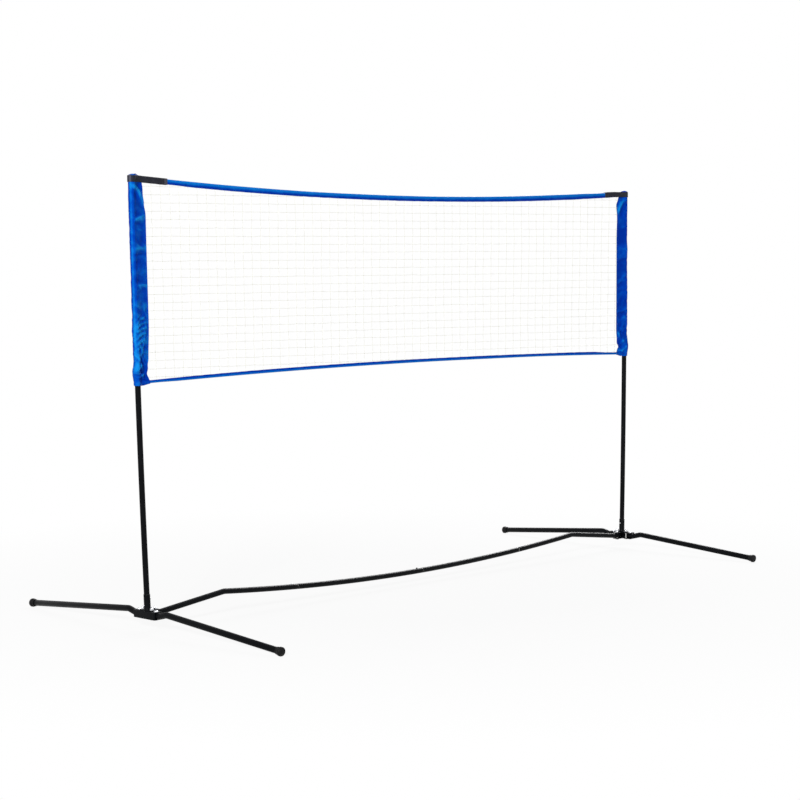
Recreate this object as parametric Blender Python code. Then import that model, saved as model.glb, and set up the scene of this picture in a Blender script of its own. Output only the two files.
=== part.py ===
"""Portable badminton net on a folding stand.

Two leaning posts stand in sockets on folding bases. A four-piece bar joins the
bases along the ground, and a net with taped edges hangs between the posts.

Units are metres. The origin is on the ground under the middle of the net,
+X runs along the net, +Y across it and +Z up. Each base is modelled in its own
frame, with +X pointing inward from the post, and the right-hand base is the
left-hand one turned half round.
"""
import math

import bmesh
import bpy
from mathutils import Matrix, Vector

# Clearance left between pieces that touch or slide in each other
FIT = 0.0003

# Posts
POST_SPAN = 2.600
POST_TOP = 1.550
POST_OD = 0.020
POST_WALL = 0.0012
POST_LEAN = 0.0533
POST_PULL = 0.023
POST_SPLIT_RISE = 0.075
POST_INSERT = 0.060
POST_CAP_RIM = 0.001
POST_CAP_HEIGHT = 0.0065
POST_CAP_STEM = 0.015

# Bracket of each base, a channel that opens towards the net
BRACKET_Z = 0.053
BRACKET_LENGTH = 0.116
BRACKET_REACH = 0.015
PLATE_WALL = 0.002
TONGUE_WIDTH = 0.028
TONGUE_REACH = 0.046
CORNER_ROUND = 0.004

# Folding legs
LEG_OD = 0.022
LEG_WALL = 0.0012
LEG_PIVOT_Y = 0.046
LEG_TAIL = 0.009
LEG_STRAIGHT = 0.022
LEG_KINK_Y = 0.104
LEG_KINK_RISE = 0.009
LEG_REACH = 0.690
LEG_BEND_RADIUS = 0.040

# Rubber feet
FOOT_HEAD_OD = 0.031
FOOT_HEAD_LENGTH = 0.013
FOOT_NECK_LENGTH = 0.019
FOOT_NECK_WALL = 0.0018
FOOT_FLOOR = 0.004
FOOT_ROUND = 0.004
SOLE_DEPTH = 0.0010

# Post sockets
SOCKET_WALL = 0.0012
SOCKET_DEPTH = 0.0545
FLANGE_WALL = 0.002
FLANGE_LENGTH = 0.062
FLANGE_WIDTH = 0.027
SOCKET_BOLT_Y = 0.024

# Ground bar
BAR_OD = 0.020
BAR_WALL = 0.0012
BAR_BOLT_X = 0.032
BAR_TAIL = 0.012
BAR_STRAIGHT = 0.020
BAR_KINK_X = 0.340
BAR_KINK_Z = 0.0895
BAR_SAG = 0.0443
BAR_JOINT_X = 0.611
BAR_MIDDLE_X = 0.0445
BAR_INSERT = 0.050
BAR_BEND_RADIUS = 0.060
SWAGE_TAPER = 0.004

# Bolts, domed nuts and rivets
BOLT_OD = 0.008
BOLT_HEAD = 0.013
BOLT_HEAD_HEIGHT = 0.004
NUT_FLATS = 0.013
NUT_HEX_HEIGHT = 0.005
NUT_HEIGHT = 0.0115
NUT_BORE_DEPTH = 0.008
BOLT_END_GAP = 0.0015
RIVET_HEAD_OD = 0.015
RIVET_HEAD_HEIGHT = 0.005
RIVET_TAIL_OD = 0.012
RIVET_TAIL_HEIGHT = 0.0025

# Spring buttons
BUTTON_OD = 0.006
BUTTON_PROUD = 0.0035
BUTTON_FLANGE_OD = 0.0076
BUTTON_FLANGE_WALL = 0.001
BAR_BUTTON_INSET = 0.028
POST_BUTTON_INSET = 0.018
SPRING_WALL = 0.0006
SPRING_WIDTH = 0.004
SPRING_LENGTH = 0.022
SPRING_TOE = 0.005

# Net edges
SAG = 0.0414
TAPE_DROP = 0.0048
TAPE_HEIGHT = 0.0175
TAPE_WALL = 0.0008
TAPE_END_GAP = 0.0020
TOP_CORD_OD = 0.0042
HEM_RISE = 0.0077
HEM_BOW = 0.0199
HEM_HEIGHT = 0.010
HEM_CORD_OD = 0.0024

# Net mesh
NET_COLUMNS = 22
NET_ROWS = 9
STRAND = 0.002

# Fabric sleeves round the posts
SLEEVE_TOP_DROP = 0.004
SLEEVE_LENGTH = 0.710
SLEEVE_WALL = 0.0012
SLEEVE_EASE = 0.0015
FIN_REACH = 0.055
FIN_TOP_REACH = 0.041
FIN_TOP_SLOPE = 0.070
FIN_HEM_REACH = 0.050
FIN_HEM_SPAN = 0.080
FIN_WALL = 0.0026
FIN_FOLD = 0.0022

# Webbing bands over the top corners
BAND_HEIGHT = 0.022
BAND_LENGTH = 0.139
BAND_WALL = 0.0012
BAND_ABOVE_TAPE = 0.0035

# Smoothness of round pieces
TUBE_SIDES = 12
SMALL_SIDES = 12
CORD_SIDES = 8
EDGE_SPANS = 12
BEND_STEPS = 2
LOOP_ANGLES = (55, 85, 115, 145, 180, 215, 245, 275, 305)

# Heights and places worked out from the sizes above
PLATE_GAP_HALF = LEG_OD / 2 + FIT
PLATE_TOP_Z = BRACKET_Z + PLATE_GAP_HALF + PLATE_WALL
PLATE_BOTTOM_Z = BRACKET_Z - PLATE_GAP_HALF - PLATE_WALL
FLANGE_TOP_Z = PLATE_TOP_Z + FIT + FLANGE_WALL
SEAT_Z = FLANGE_TOP_Z + FIT
MOUTH_Z = FLANGE_TOP_Z + SOCKET_DEPTH
SOCKET_OD = POST_OD + 2 * (FIT + SOCKET_WALL)
WEB_INNER_X = -(math.hypot(LEG_TAIL, LEG_OD / 2) + 3 * FIT)
WEB_OUTER_X = WEB_INNER_X - PLATE_WALL
FOOT_Z = FOOT_HEAD_OD / 2 - SOLE_DEPTH
BAR_Z = BRACKET_Z + PLATE_GAP_HALF - FIT - BAR_OD / 2
POST_X = POST_SPAN / 2
BAR_KINK_SPAN = POST_X - BAR_KINK_X
POST_TUBE_TOP = POST_TOP - POST_CAP_HEIGHT - FIT
SLEEVE_TOP_Z = POST_TOP - SLEEVE_TOP_DROP
SLEEVE_BOTTOM_Z = SLEEVE_TOP_Z - SLEEVE_LENGTH
POST_SPLIT_Z = SLEEVE_BOTTOM_Z + POST_SPLIT_RISE
TAPE_HALF = TOP_CORD_OD / 2 + FIT + TAPE_WALL
HEM_HALF = HEM_CORD_OD / 2 + FIT + TAPE_WALL
SIDES = {"left": 0.0, "right": math.pi}


# Materials

def material(name, colour, roughness, metallic=0.0):
    """A plain surface of one colour."""
    made = bpy.data.materials.new(name)
    made.use_nodes = True
    shader = made.node_tree.nodes["Principled BSDF"]
    shader.inputs["Base Color"].default_value = (*colour, 1.0)
    shader.inputs["Roughness"].default_value = roughness
    shader.inputs["Metallic"].default_value = metallic
    return made


def clear_scene():
    """Start from an empty scene."""
    for old in list(bpy.data.objects):
        bpy.data.objects.remove(old, do_unlink=True)


# Building blocks

def add_object(name, points, faces, surface, parent=None):
    """Turn points and faces into one smooth-shaded object with outward faces."""
    mesh = bpy.data.meshes.new(name)
    mesh.from_pydata([tuple(p) for p in points], [], faces)
    work = bmesh.new()
    work.from_mesh(mesh)
    bmesh.ops.recalc_face_normals(work, faces=work.faces)
    work.to_mesh(mesh)
    work.free()
    mesh.shade_smooth()
    mesh.set_sharp_from_angle(angle=math.radians(35))
    mesh.materials.append(surface)
    made = bpy.data.objects.new(name, mesh)
    bpy.context.scene.collection.objects.link(made)
    made.parent = parent
    return made


def add_empty(name, place, turn=0.0, parent=None):
    """A frame that pieces are parented to."""
    made = bpy.data.objects.new(name, None)
    made.location = place
    made.rotation_euler = (0.0, 0.0, turn)
    bpy.context.scene.collection.objects.link(made)
    made.parent = parent
    return made


def combine(target, tool, operation):
    """Cut the tool from the target, or join it on, and keep only the result."""
    bpy.context.view_layer.update()
    change = target.modifiers.new(operation, "BOOLEAN")
    change.operation = operation
    change.solver = "EXACT"
    change.object = tool
    bpy.context.view_layer.update()
    graph = bpy.context.evaluated_depsgraph_get()
    shaped = bpy.data.meshes.new_from_object(target.evaluated_get(graph))
    target.modifiers.clear()
    target.data = shaped
    shaped.shade_smooth()
    shaped.set_sharp_from_angle(angle=math.radians(35))
    bpy.data.objects.remove(tool, do_unlink=True)


def ring_faces(ring_a, ring_b):
    """Quads between two rings of point numbers."""
    count = len(ring_a)
    return [(ring_a[i], ring_a[(i + 1) % count], ring_b[(i + 1) % count], ring_b[i]) for i in range(count)]


def turned(name, profile, sides, surface, parent=None, flats=()):
    """Turn a profile of (radius, height) round Z.

    A profile that starts and ends on the axis is closed there. Stations listed
    in flats become hexagons whose corners lie on that radius.
    """
    points = []
    rings = []
    for station, (radius, height) in enumerate(profile):
        if radius == 0.0:
            rings.append([len(points)])
            points.append((0.0, 0.0, height))
            continue
        ring = []
        for i in range(sides):
            angle = 2 * math.pi * i / sides
            reach = radius
            if station in flats and i % 2:
                reach = radius * math.cos(math.pi / 6)
            ring.append(len(points))
            points.append((reach * math.cos(angle), reach * math.sin(angle), height))
        rings.append(ring)
    faces = []
    pairs = list(zip(rings, rings[1:]))
    if profile[0][0] > 0.0:
        pairs.append((rings[-1], rings[0]))
    for ring_a, ring_b in pairs:
        if len(ring_a) == 1:
            faces += [(ring_a[0], ring_b[i], ring_b[(i + 1) % sides]) for i in range(sides)]
        elif len(ring_b) == 1:
            faces += [(ring_a[i], ring_a[(i + 1) % sides], ring_b[0]) for i in range(sides)]
        else:
            faces += ring_faces(ring_a, ring_b)
    return add_object(name, points, faces, surface, parent)


def swept_tube(name, path, across, surface, parent=None, sides=TUBE_SIDES):
    """A hollow or solid tube along a flat path.

    Each path entry is (point, outer radius, inner radius). The path lies in the
    plane square to the vector across. An inner radius of zero makes it solid.
    """
    across = Vector(across)
    spots = [Vector(entry[0]) for entry in path]
    points = []
    outer_rings = []
    inner_rings = []
    last = len(spots) - 1
    for index, (spot, outer, inner) in enumerate(path):
        before = spots[max(index - 1, 0)]
        after = spots[min(index + 1, last)]
        ahead = (after - before).normalized()
        up = across.cross(ahead).normalized()
        for radius, rings in ((outer, outer_rings), (inner, inner_rings)):
            if radius == 0.0:
                continue
            ring = []
            for i in range(sides):
                angle = 2 * math.pi * i / sides
                offset = up * math.cos(angle) + across * math.sin(angle)
                ring.append(len(points))
                points.append(Vector(spot) + offset * radius)
            rings.append(ring)
    faces = []
    for rings in (outer_rings, inner_rings):
        for ring_a, ring_b in zip(rings, rings[1:]):
            faces += ring_faces(ring_a, ring_b)
    if inner_rings:
        faces += ring_faces(outer_rings[0], inner_rings[0])
        faces += ring_faces(outer_rings[-1], inner_rings[-1])
    else:
        faces.append(tuple(outer_rings[0]))
        faces.append(tuple(outer_rings[-1]))
    return add_object(name, points, faces, surface, parent)


def prism(name, outline, low, high, surface, parent=None):
    """Stand an outline of (x, y) between two heights.

    The heights are numbers, or functions of x.
    """
    count = len(outline)
    points = []
    for level in (low, high):
        for x, y in outline:
            z = level(x) if callable(level) else level
            points.append((x, y, z))
    bottom = list(range(count))
    top = list(range(count, 2 * count))
    faces = ring_faces(bottom, top)
    faces.append(tuple(bottom))
    faces.append(tuple(top))
    return add_object(name, points, faces, surface, parent)


def ribbon_faces(count):
    """Faces of a ribbon whose points come in fours: left and right, low and high."""
    faces = []
    for i in range(count - 1):
        a = 4 * i
        b = 4 * (i + 1)
        faces += [(a, b, b + 1, a + 1), (a + 1, b + 1, b + 3, a + 3)]
        faces += [(a + 3, b + 3, b + 2, a + 2), (a + 2, b + 2, b, a)]
    end = 4 * (count - 1)
    faces.append((0, 1, 3, 2))
    faces.append((end, end + 1, end + 3, end + 2))
    return faces


def ribbon_sides(line, wall):
    """Left and right edges of a flat line of points, wall apart, mitred at its corners."""
    edges = []
    last = len(line) - 1
    for index, spot in enumerate(line):
        spot = Vector(spot)
        before = (spot - Vector(line[index - 1])).normalized() if index > 0 else None
        after = (Vector(line[index + 1]) - spot).normalized() if index < last else None
        ahead = ((before or after) + (after or before)).normalized()
        normal = Vector((-ahead.y, ahead.x))
        straight = before or after
        stretch = wall / 2 / max(normal.dot(Vector((-straight.y, straight.x))), 0.3)
        edges.append((spot + normal * stretch, spot - normal * stretch))
    return edges


def block(name, low, high, surface, parent=None):
    """A box between two corners."""
    outline = [(low[0], low[1]), (high[0], low[1]), (high[0], high[1]), (low[0], high[1])]
    return prism(name, outline, low[2], high[2], surface, parent)


def pin_tool(radius, start, end, parent=None):
    """A round cutter between two points."""
    start = Vector(start)
    end = Vector(end)
    length = (end - start).length
    tool = turned("cutter", [(0.0, 0.0), (radius, 0.0), (radius, length), (0.0, length)], SMALL_SIDES, STEEL, parent)
    turn = Vector((0.0, 0.0, 1.0)).rotation_difference(end - start)
    tool.matrix_local = Matrix.Translation(start) @ turn.to_matrix().to_4x4()
    return tool


def rounded_outline(corners, radius, steps=2):
    """An outline of (x, y) with its listed corners rounded."""
    outline = []
    count = len(corners)
    for index, corner in enumerate(corners):
        here = Vector(corner)
        to_last = (Vector(corners[index - 1]) - here).normalized()
        to_next = (Vector(corners[(index + 1) % count]) - here).normalized()
        start = here + to_last * radius
        end = here + to_next * radius
        for step in range(steps + 1):
            share = step / steps
            outline.append(start * (1 - share) ** 2 + here * 2 * share * (1 - share) + end * share ** 2)
    return [(p.x, p.y) for p in outline]


def bent_path(corners, radius):
    """A flat path through corners, with each inner corner rounded to a bend radius."""
    path = [Vector(corners[0])]
    for before, here, after in zip(corners, corners[1:], corners[2:]):
        here = Vector(here)
        back = (Vector(before) - here).normalized()
        onward = (Vector(after) - here).normalized()
        half_turn = (math.pi - back.angle(onward)) / 2
        reach = radius * math.tan(half_turn)
        centre = here + (back + onward).normalized() * radius / math.cos(half_turn)
        start = here + back * reach - centre
        end = here + onward * reach - centre
        for step in range(BEND_STEPS + 1):
            path.append(centre + start.slerp(end, step / BEND_STEPS).normalized() * radius)
    path.append(Vector(corners[-1]))
    return path


# Shapes that several pieces share

def post_axis_x(z):
    """Place of a post's axis at a height, in its base's frame: it leans out and the net draws it in."""
    share = (z - SEAT_Z) / (POST_TOP - SEAT_Z)
    return POST_PULL * share ** 2 - POST_LEAN * share


def fin_edge_x(z):
    """Inner edge of a sleeve's flat fin at a height, in its base's frame."""
    to_top = min(max((SLEEVE_TOP_Z - TAPE_HEIGHT - z) / FIN_TOP_SLOPE, 0.0), 1.0)
    to_hem = min((z - SLEEVE_BOTTOM_Z) / FIN_HEM_SPAN, 1.0)
    reach = FIN_REACH - (FIN_REACH - FIN_TOP_REACH) * (1 - to_top)
    reach += (FIN_HEM_REACH - FIN_REACH) * (1 - to_hem)
    return post_axis_x(z) + reach


def bar_height(x):
    """Height of the ground bar's axis between its two kinks."""
    return BAR_KINK_Z - BAR_SAG * (1 - (x / BAR_KINK_SPAN) ** 2)


def tape_top(x):
    """Upper edge of the top tape, which sags in the middle."""
    return POST_TOP - TAPE_DROP - SAG * (1 - (x / POST_X) ** 2)


def hem_bottom(x):
    """Lower edge of the bottom tape, which bows up in the middle."""
    return SLEEVE_BOTTOM_Z + HEM_RISE + HEM_BOW * (1 - (x / POST_X) ** 2)


def spread(start, end, spans):
    """Evenly spaced values from start to end."""
    return [start + (end - start) * i / spans for i in range(spans + 1)]


# Fasteners

def bolt(name, x, y, grip_top, parent):
    """A hex bolt that comes up through the bracket from below."""
    head_radius = BOLT_HEAD / 2 / math.cos(math.pi / 6)
    head_top = PLATE_BOTTOM_Z - FIT
    tip = grip_top + FIT + NUT_BORE_DEPTH - BOLT_END_GAP
    shank = BOLT_OD / 2
    profile = [
        (0.0, head_top - BOLT_HEAD_HEIGHT),
        (head_radius, head_top - BOLT_HEAD_HEIGHT),
        (head_radius, head_top),
        (shank, head_top),
        (shank, tip),
        (0.0, tip),
    ]
    made = turned(name, profile, SMALL_SIDES, STEEL, parent, flats=(1, 2))
    made.location = (x, y, 0.0)


def domed_nut(name, x, y, seat, parent):
    """A closed nut with a hexagon below and a dome above."""
    corner = NUT_FLATS / 2 / math.cos(math.pi / 6)
    dome = NUT_FLATS / 2 - FIT
    bore = BOLT_OD / 2 + FIT
    low = seat + FIT
    shoulder = low + NUT_HEX_HEIGHT
    dome_height = NUT_HEIGHT - NUT_HEX_HEIGHT
    profile = [(bore, low), (corner, low), (corner, shoulder)]
    for step in range(3):
        angle = math.radians(30 * step)
        profile.append((dome * math.cos(angle), shoulder + FIT + (dome_height - FIT) * math.sin(angle)))
    profile.append((0.0, low + NUT_HEIGHT))
    profile = [(0.0, low + NUT_BORE_DEPTH), (bore, low + NUT_BORE_DEPTH)] + profile
    made = turned(name, profile, SMALL_SIDES, CHROME, parent, flats=(3, 4))
    made.location = (x, y, 0.0)


def pivot_rivet(name, x, y, parent):
    """The headed rivet that a leg swings on."""
    shank = BOLT_OD / 2
    top = PLATE_TOP_Z + FIT
    bottom = PLATE_BOTTOM_Z - FIT
    profile = [
        (0.0, bottom - RIVET_TAIL_HEIGHT),
        (RIVET_TAIL_OD / 2, bottom - RIVET_TAIL_HEIGHT),
        (RIVET_TAIL_OD / 2, bottom),
        (shank, bottom),
        (shank, top),
    ]
    for step in range(3):
        angle = math.radians(30 * step)
        profile.append((RIVET_HEAD_OD / 2 * math.cos(angle), top + RIVET_HEAD_HEIGHT * math.sin(angle)))
    profile.append((0.0, top + RIVET_HEAD_HEIGHT))
    made = turned(name, profile, SMALL_SIDES, CHROME, parent)
    made.location = (x, y, 0.0)


# Bases

def bracket(side, base):
    """A channel with a tongue for the ground bar and a lip that stops each open leg."""
    half = BRACKET_LENGTH / 2
    low = PLATE_BOTTOM_Z
    high = PLATE_TOP_Z
    corners = [(WEB_OUTER_X, -half), (BRACKET_REACH, -half), (BRACKET_REACH, half), (WEB_OUTER_X, half)]
    body = prism(f"base_bracket_{side}", rounded_outline(corners, CORNER_ROUND), low, high, PAINT, base)
    hollow_low = BRACKET_Z - PLATE_GAP_HALF
    hollow_high = BRACKET_Z + PLATE_GAP_HALF
    tongue_half = TONGUE_WIDTH / 2
    corners = [(0.0, -tongue_half), (TONGUE_REACH, -tongue_half), (TONGUE_REACH, tongue_half), (0.0, tongue_half)]
    tongue = prism("tongue", rounded_outline(corners, CORNER_ROUND), low, high, PAINT, base)
    combine(body, tongue, "UNION")
    lip_reach = -(LEG_OD / 2 + FIT)
    inside = half - PLATE_WALL
    open_side = TONGUE_REACH + FIT + PLATE_WALL
    outline = [
        (WEB_INNER_X, -inside),
        (lip_reach, -inside),
        (lip_reach, -half - PLATE_WALL),
        (open_side, -half - PLATE_WALL),
        (open_side, half + PLATE_WALL),
        (lip_reach, half + PLATE_WALL),
        (lip_reach, inside),
        (WEB_INNER_X, inside),
    ]
    combine(body, prism("hollow", outline, hollow_low, hollow_high, PAINT, base), "DIFFERENCE")
    hole = BOLT_OD / 2 + FIT
    for x, y in fastener_places():
        combine(body, pin_tool(hole, (x, y, low - PLATE_WALL), (x, y, high + PLATE_WALL), base), "DIFFERENCE")


def fastener_places():
    """Centres of the bracket's five holes."""
    places = [(BAR_BOLT_X, 0.0)]
    for sign in (-1, 1):
        places.append((0.0, sign * SOCKET_BOLT_Y))
        places.append((0.0, sign * LEG_PIVOT_Y))
    return places


def socket(side, base):
    """A short leaning tube on a bolted flange that holds the foot of a post."""
    low = PLATE_TOP_Z + FIT
    half_length = FLANGE_LENGTH / 2
    half_width = FLANGE_WIDTH / 2
    corners = [
        (-half_width, -half_length),
        (half_width, -half_length),
        (half_width, half_length),
        (-half_width, half_length),
    ]
    body = prism(f"post_socket_{side}", rounded_outline(corners, CORNER_ROUND), low, FLANGE_TOP_Z, PAINT, base)
    outer = SOCKET_OD / 2
    stub_low = FLANGE_TOP_Z - FLANGE_WALL / 2
    stub_path = [(post_point(stub_low), outer, 0.0), (post_point(MOUTH_Z), outer, 0.0)]
    combine(body, swept_tube("stub", stub_path, (0, 1, 0), PAINT, base), "UNION")
    bore = outer - SOCKET_WALL
    bore_path = [(post_point(FLANGE_TOP_Z), bore, 0.0), (post_point(MOUTH_Z + SOCKET_WALL), bore, 0.0)]
    combine(body, swept_tube("bore", bore_path, (0, 1, 0), PAINT, base), "DIFFERENCE")
    hole = BOLT_OD / 2 + FIT
    for sign in (-1, 1):
        y = sign * SOCKET_BOLT_Y
        combine(body, pin_tool(hole, (0, y, low - FLANGE_WALL), (0, y, FLANGE_TOP_Z + FLANGE_WALL), base), "DIFFERENCE")
    combine(body, post_button_tool(base), "DIFFERENCE")


def post_point(z):
    """A point of a post's axis in its base's frame."""
    return Vector((post_axis_x(z), 0.0, z))


def post_button_tool(base):
    """A cutter for the hole that a post's spring button comes out of."""
    z = MOUTH_Z - POST_BUTTON_INSET
    middle = post_point(z)
    return pin_tool(BUTTON_OD / 2 + FIT, middle, middle + Vector((SOCKET_OD, 0, 0)), base)


def leg(side, end, sign, base):
    """A kinked tube that swings on its rivet, with a rubber cap on its foot."""
    hinge = add_empty(f"hinge_{side}_{end}", (0.0, sign * LEG_PIVOT_Y, 0.0), parent=base)
    outer = LEG_OD / 2
    inner = outer - LEG_WALL
    kink_z = BRACKET_Z + LEG_KINK_RISE
    corners = [
        (0.0, -LEG_TAIL, BRACKET_Z),
        (0.0, LEG_STRAIGHT, BRACKET_Z),
        (0.0, LEG_KINK_Y - LEG_PIVOT_Y, kink_z),
        (0.0, LEG_REACH - LEG_PIVOT_Y, FOOT_Z),
    ]
    spots = [Vector((p[0], sign * p[1], p[2])) for p in bent_path(corners, LEG_BEND_RADIUS)]
    path = [(spot, outer, inner) for spot in spots]
    body = swept_tube(f"leg_{side}_{end}", path, (1, 0, 0), PAINT, hinge)
    hole = BOLT_OD / 2 + FIT
    reach = LEG_OD
    combine(body, pin_tool(hole, (0, 0, BRACKET_Z - reach), (0, 0, BRACKET_Z + reach), hinge), "DIFFERENCE")
    foot_cap(side, end, spots[-2], spots[-1], hinge)


def foot_cap(side, end, before, tip, hinge):
    """A rubber cap with a fat round head, cut flat where it stands on the ground."""
    bore = LEG_OD / 2 + FIT
    neck = bore + FOOT_NECK_WALL
    head = FOOT_HEAD_OD / 2
    head_low = FOOT_FLOOR - FOOT_HEAD_LENGTH
    profile = [
        (0.0, FIT),
        (bore, FIT),
        (bore, -FOOT_NECK_LENGTH),
        (neck, -FOOT_NECK_LENGTH),
        (neck, head_low - FOOT_ROUND / 2),
        (head - FOOT_ROUND / 3, head_low),
        (head, head_low + FOOT_ROUND),
        (head, FOOT_FLOOR - FOOT_ROUND),
        (head - FOOT_ROUND / 3, FOOT_FLOOR - FOOT_ROUND / 3),
        (head - FOOT_ROUND, FOOT_FLOOR),
        (0.0, FOOT_FLOOR + FIT),
    ]
    body = turned(f"foot_cap_{side}_{end}", profile, TUBE_SIDES, RUBBER, hinge)
    ahead = (tip - before).normalized()
    across = Vector((1.0, 0.0, 0.0))
    up = across.cross(ahead).normalized()
    frame = Matrix((up, across, ahead)).transposed().to_4x4()
    body.matrix_local = Matrix.Translation(tip) @ frame
    reach = FOOT_HEAD_OD
    low = (tip.x - reach, tip.y - reach, -reach)
    high = (tip.x + reach, tip.y + reach, 0.0)
    combine(body, block("ground", low, high, RUBBER, hinge), "DIFFERENCE")


def base_fasteners(side, base):
    """The rivets, bolts and domed nuts of one bracket."""
    for end, sign in base_ends(side):
        pivot_rivet(f"pivot_rivet_{side}_{end}", 0.0, sign * LEG_PIVOT_Y, base)
        bolt(f"socket_bolt_{side}_{end}", 0.0, sign * SOCKET_BOLT_Y, FLANGE_TOP_Z, base)
        domed_nut(f"socket_nut_{side}_{end}", 0.0, sign * SOCKET_BOLT_Y, FLANGE_TOP_Z, base)
    bolt(f"bar_bolt_{side}", BAR_BOLT_X, 0.0, PLATE_TOP_Z, base)
    domed_nut(f"bar_nut_{side}", BAR_BOLT_X, 0.0, PLATE_TOP_Z, base)


def base_ends(side):
    """Names of a base's two ends, with their signs in the base's own frame."""
    if side == "left":
        return (("rear", 1), ("front", -1))
    return (("front", 1), ("rear", -1))


# Posts

def post(side, base):
    """Two tubes that plug together, with a plastic cap on top."""
    outer = POST_OD / 2
    inner = outer - POST_WALL
    male = inner - FIT
    male_inner = male - POST_WALL
    low = [MOUTH_Z] + spread(MOUTH_Z, POST_SPLIT_Z - POST_INSERT, 3)[1:]
    heights = [SEAT_Z] + low + [POST_SPLIT_Z]
    path = [(post_point(z), outer, inner) for z in heights]
    lower = swept_tube(f"post_lower_{side}", path, (0, 1, 0), PAINT, base)
    combine(lower, post_button_tool(base), "DIFFERENCE")
    path = [(post_point(z), male, male_inner) for z in (POST_SPLIT_Z - POST_INSERT, POST_SPLIT_Z + FIT)]
    for z in spread(POST_SPLIT_Z + SWAGE_TAPER, POST_TUBE_TOP, 3):
        path.append((post_point(z), outer, inner))
    swept_tube(f"post_upper_{side}", path, (0, 1, 0), PAINT, base)
    cap_low = POST_TUBE_TOP + FIT
    rim = outer + POST_CAP_RIM
    stem = inner - FIT
    dome = POST_CAP_HEIGHT / 3
    profile = [
        (0.0, -POST_CAP_STEM),
        (stem, -POST_CAP_STEM),
        (stem, 0.0),
        (rim, 0.0),
        (rim, POST_CAP_HEIGHT - 2 * dome),
        (rim - dome, POST_CAP_HEIGHT - dome / 2),
        (0.0, POST_CAP_HEIGHT),
    ]
    cap = turned(f"post_cap_{side}", profile, TUBE_SIDES, PLASTIC, base)
    ahead = (post_point(POST_TUBE_TOP) - post_point(POST_TUBE_TOP - POST_CAP_STEM)).normalized()
    across = Vector((0.0, 1.0, 0.0))
    frame = Matrix((across.cross(ahead), across, ahead)).transposed().to_4x4()
    cap.matrix_local = Matrix.Translation(post_point(cap_low)) @ frame


# Ground bar

def bar_end_tube(side, base):
    """The kinked tube from a bracket to the bar's first joint."""
    outer = BAR_OD / 2
    inner = outer - BAR_WALL
    start = BAR_BOLT_X - BAR_TAIL
    mouth = POST_X - BAR_JOINT_X
    inside = mouth - BAR_INSERT
    sagging = spread(BAR_KINK_X + BAR_BEND_RADIUS, inside, 2) + [mouth]
    corners = [
        (start, 0.0, BAR_Z),
        (BAR_BOLT_X + BAR_STRAIGHT, 0.0, BAR_Z),
        (BAR_KINK_X, 0.0, BAR_KINK_Z),
        (sagging[0], 0.0, bar_height(POST_X - sagging[0])),
    ]
    spots = bent_path(corners, BAR_BEND_RADIUS)
    spots += [Vector((x, 0.0, bar_height(POST_X - x))) for x in sagging[1:]]
    path = [(spot, outer, inner) for spot in spots]
    body = swept_tube(f"bar_end_tube_{side}", path, (0, 1, 0), PAINT, base)
    hole = BOLT_OD / 2 + FIT
    x = BAR_BOLT_X
    combine(body, pin_tool(hole, (x, 0, BAR_Z - BAR_OD), (x, 0, BAR_Z + BAR_OD), base), "DIFFERENCE")
    combine(body, bar_button_tool(mouth - BAR_BUTTON_INSET, BAR_JOINT_X + BAR_BUTTON_INSET, base), "DIFFERENCE")


def bar_button_tool(x, world_x, parent=None):
    """A cutter for the hole that a bar button comes up through."""
    z = bar_height(world_x)
    return pin_tool(BUTTON_OD / 2 + FIT, (x, 0, z), (x, 0, z + BAR_OD), parent)


def bar_mid_tubes():
    """Two sagging tubes that meet in the middle, with narrowed ends that plug in."""
    outer = BAR_OD / 2
    inner = outer - BAR_WALL
    male = inner - FIT
    male_inner = male - BAR_WALL
    joint = BAR_JOINT_X
    middle = BAR_MIDDLE_X

    def stations(pairs, radii):
        return [(Vector((x, 0.0, bar_height(x))), *radii) for x in pairs]

    thin = (male, male_inner)
    wide = (outer, inner)
    path = stations((-joint - BAR_INSERT, -joint + FIT), thin)
    path += stations(spread(-joint + SWAGE_TAPER, middle - BAR_INSERT, 3) + [middle], wide)
    left = swept_tube("bar_mid_tube_left", path, (0, 1, 0), PAINT)
    combine(left, bar_button_tool(-joint - BAR_BUTTON_INSET, joint + BAR_BUTTON_INSET), "DIFFERENCE")
    spot = middle - BAR_BUTTON_INSET
    combine(left, bar_button_tool(spot, spot), "DIFFERENCE")
    path = stations((middle - BAR_INSERT, middle + FIT), thin)
    path += stations(spread(middle + SWAGE_TAPER, joint - SWAGE_TAPER, 3), wide)
    path += stations((joint - FIT, joint + BAR_INSERT), thin)
    right = swept_tube("bar_mid_tube_right", path, (0, 1, 0), PAINT)
    combine(right, bar_button_tool(spot, spot), "DIFFERENCE")
    combine(right, bar_button_tool(joint + BAR_BUTTON_INSET, joint + BAR_BUTTON_INSET), "DIFFERENCE")


# Spring buttons

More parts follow.
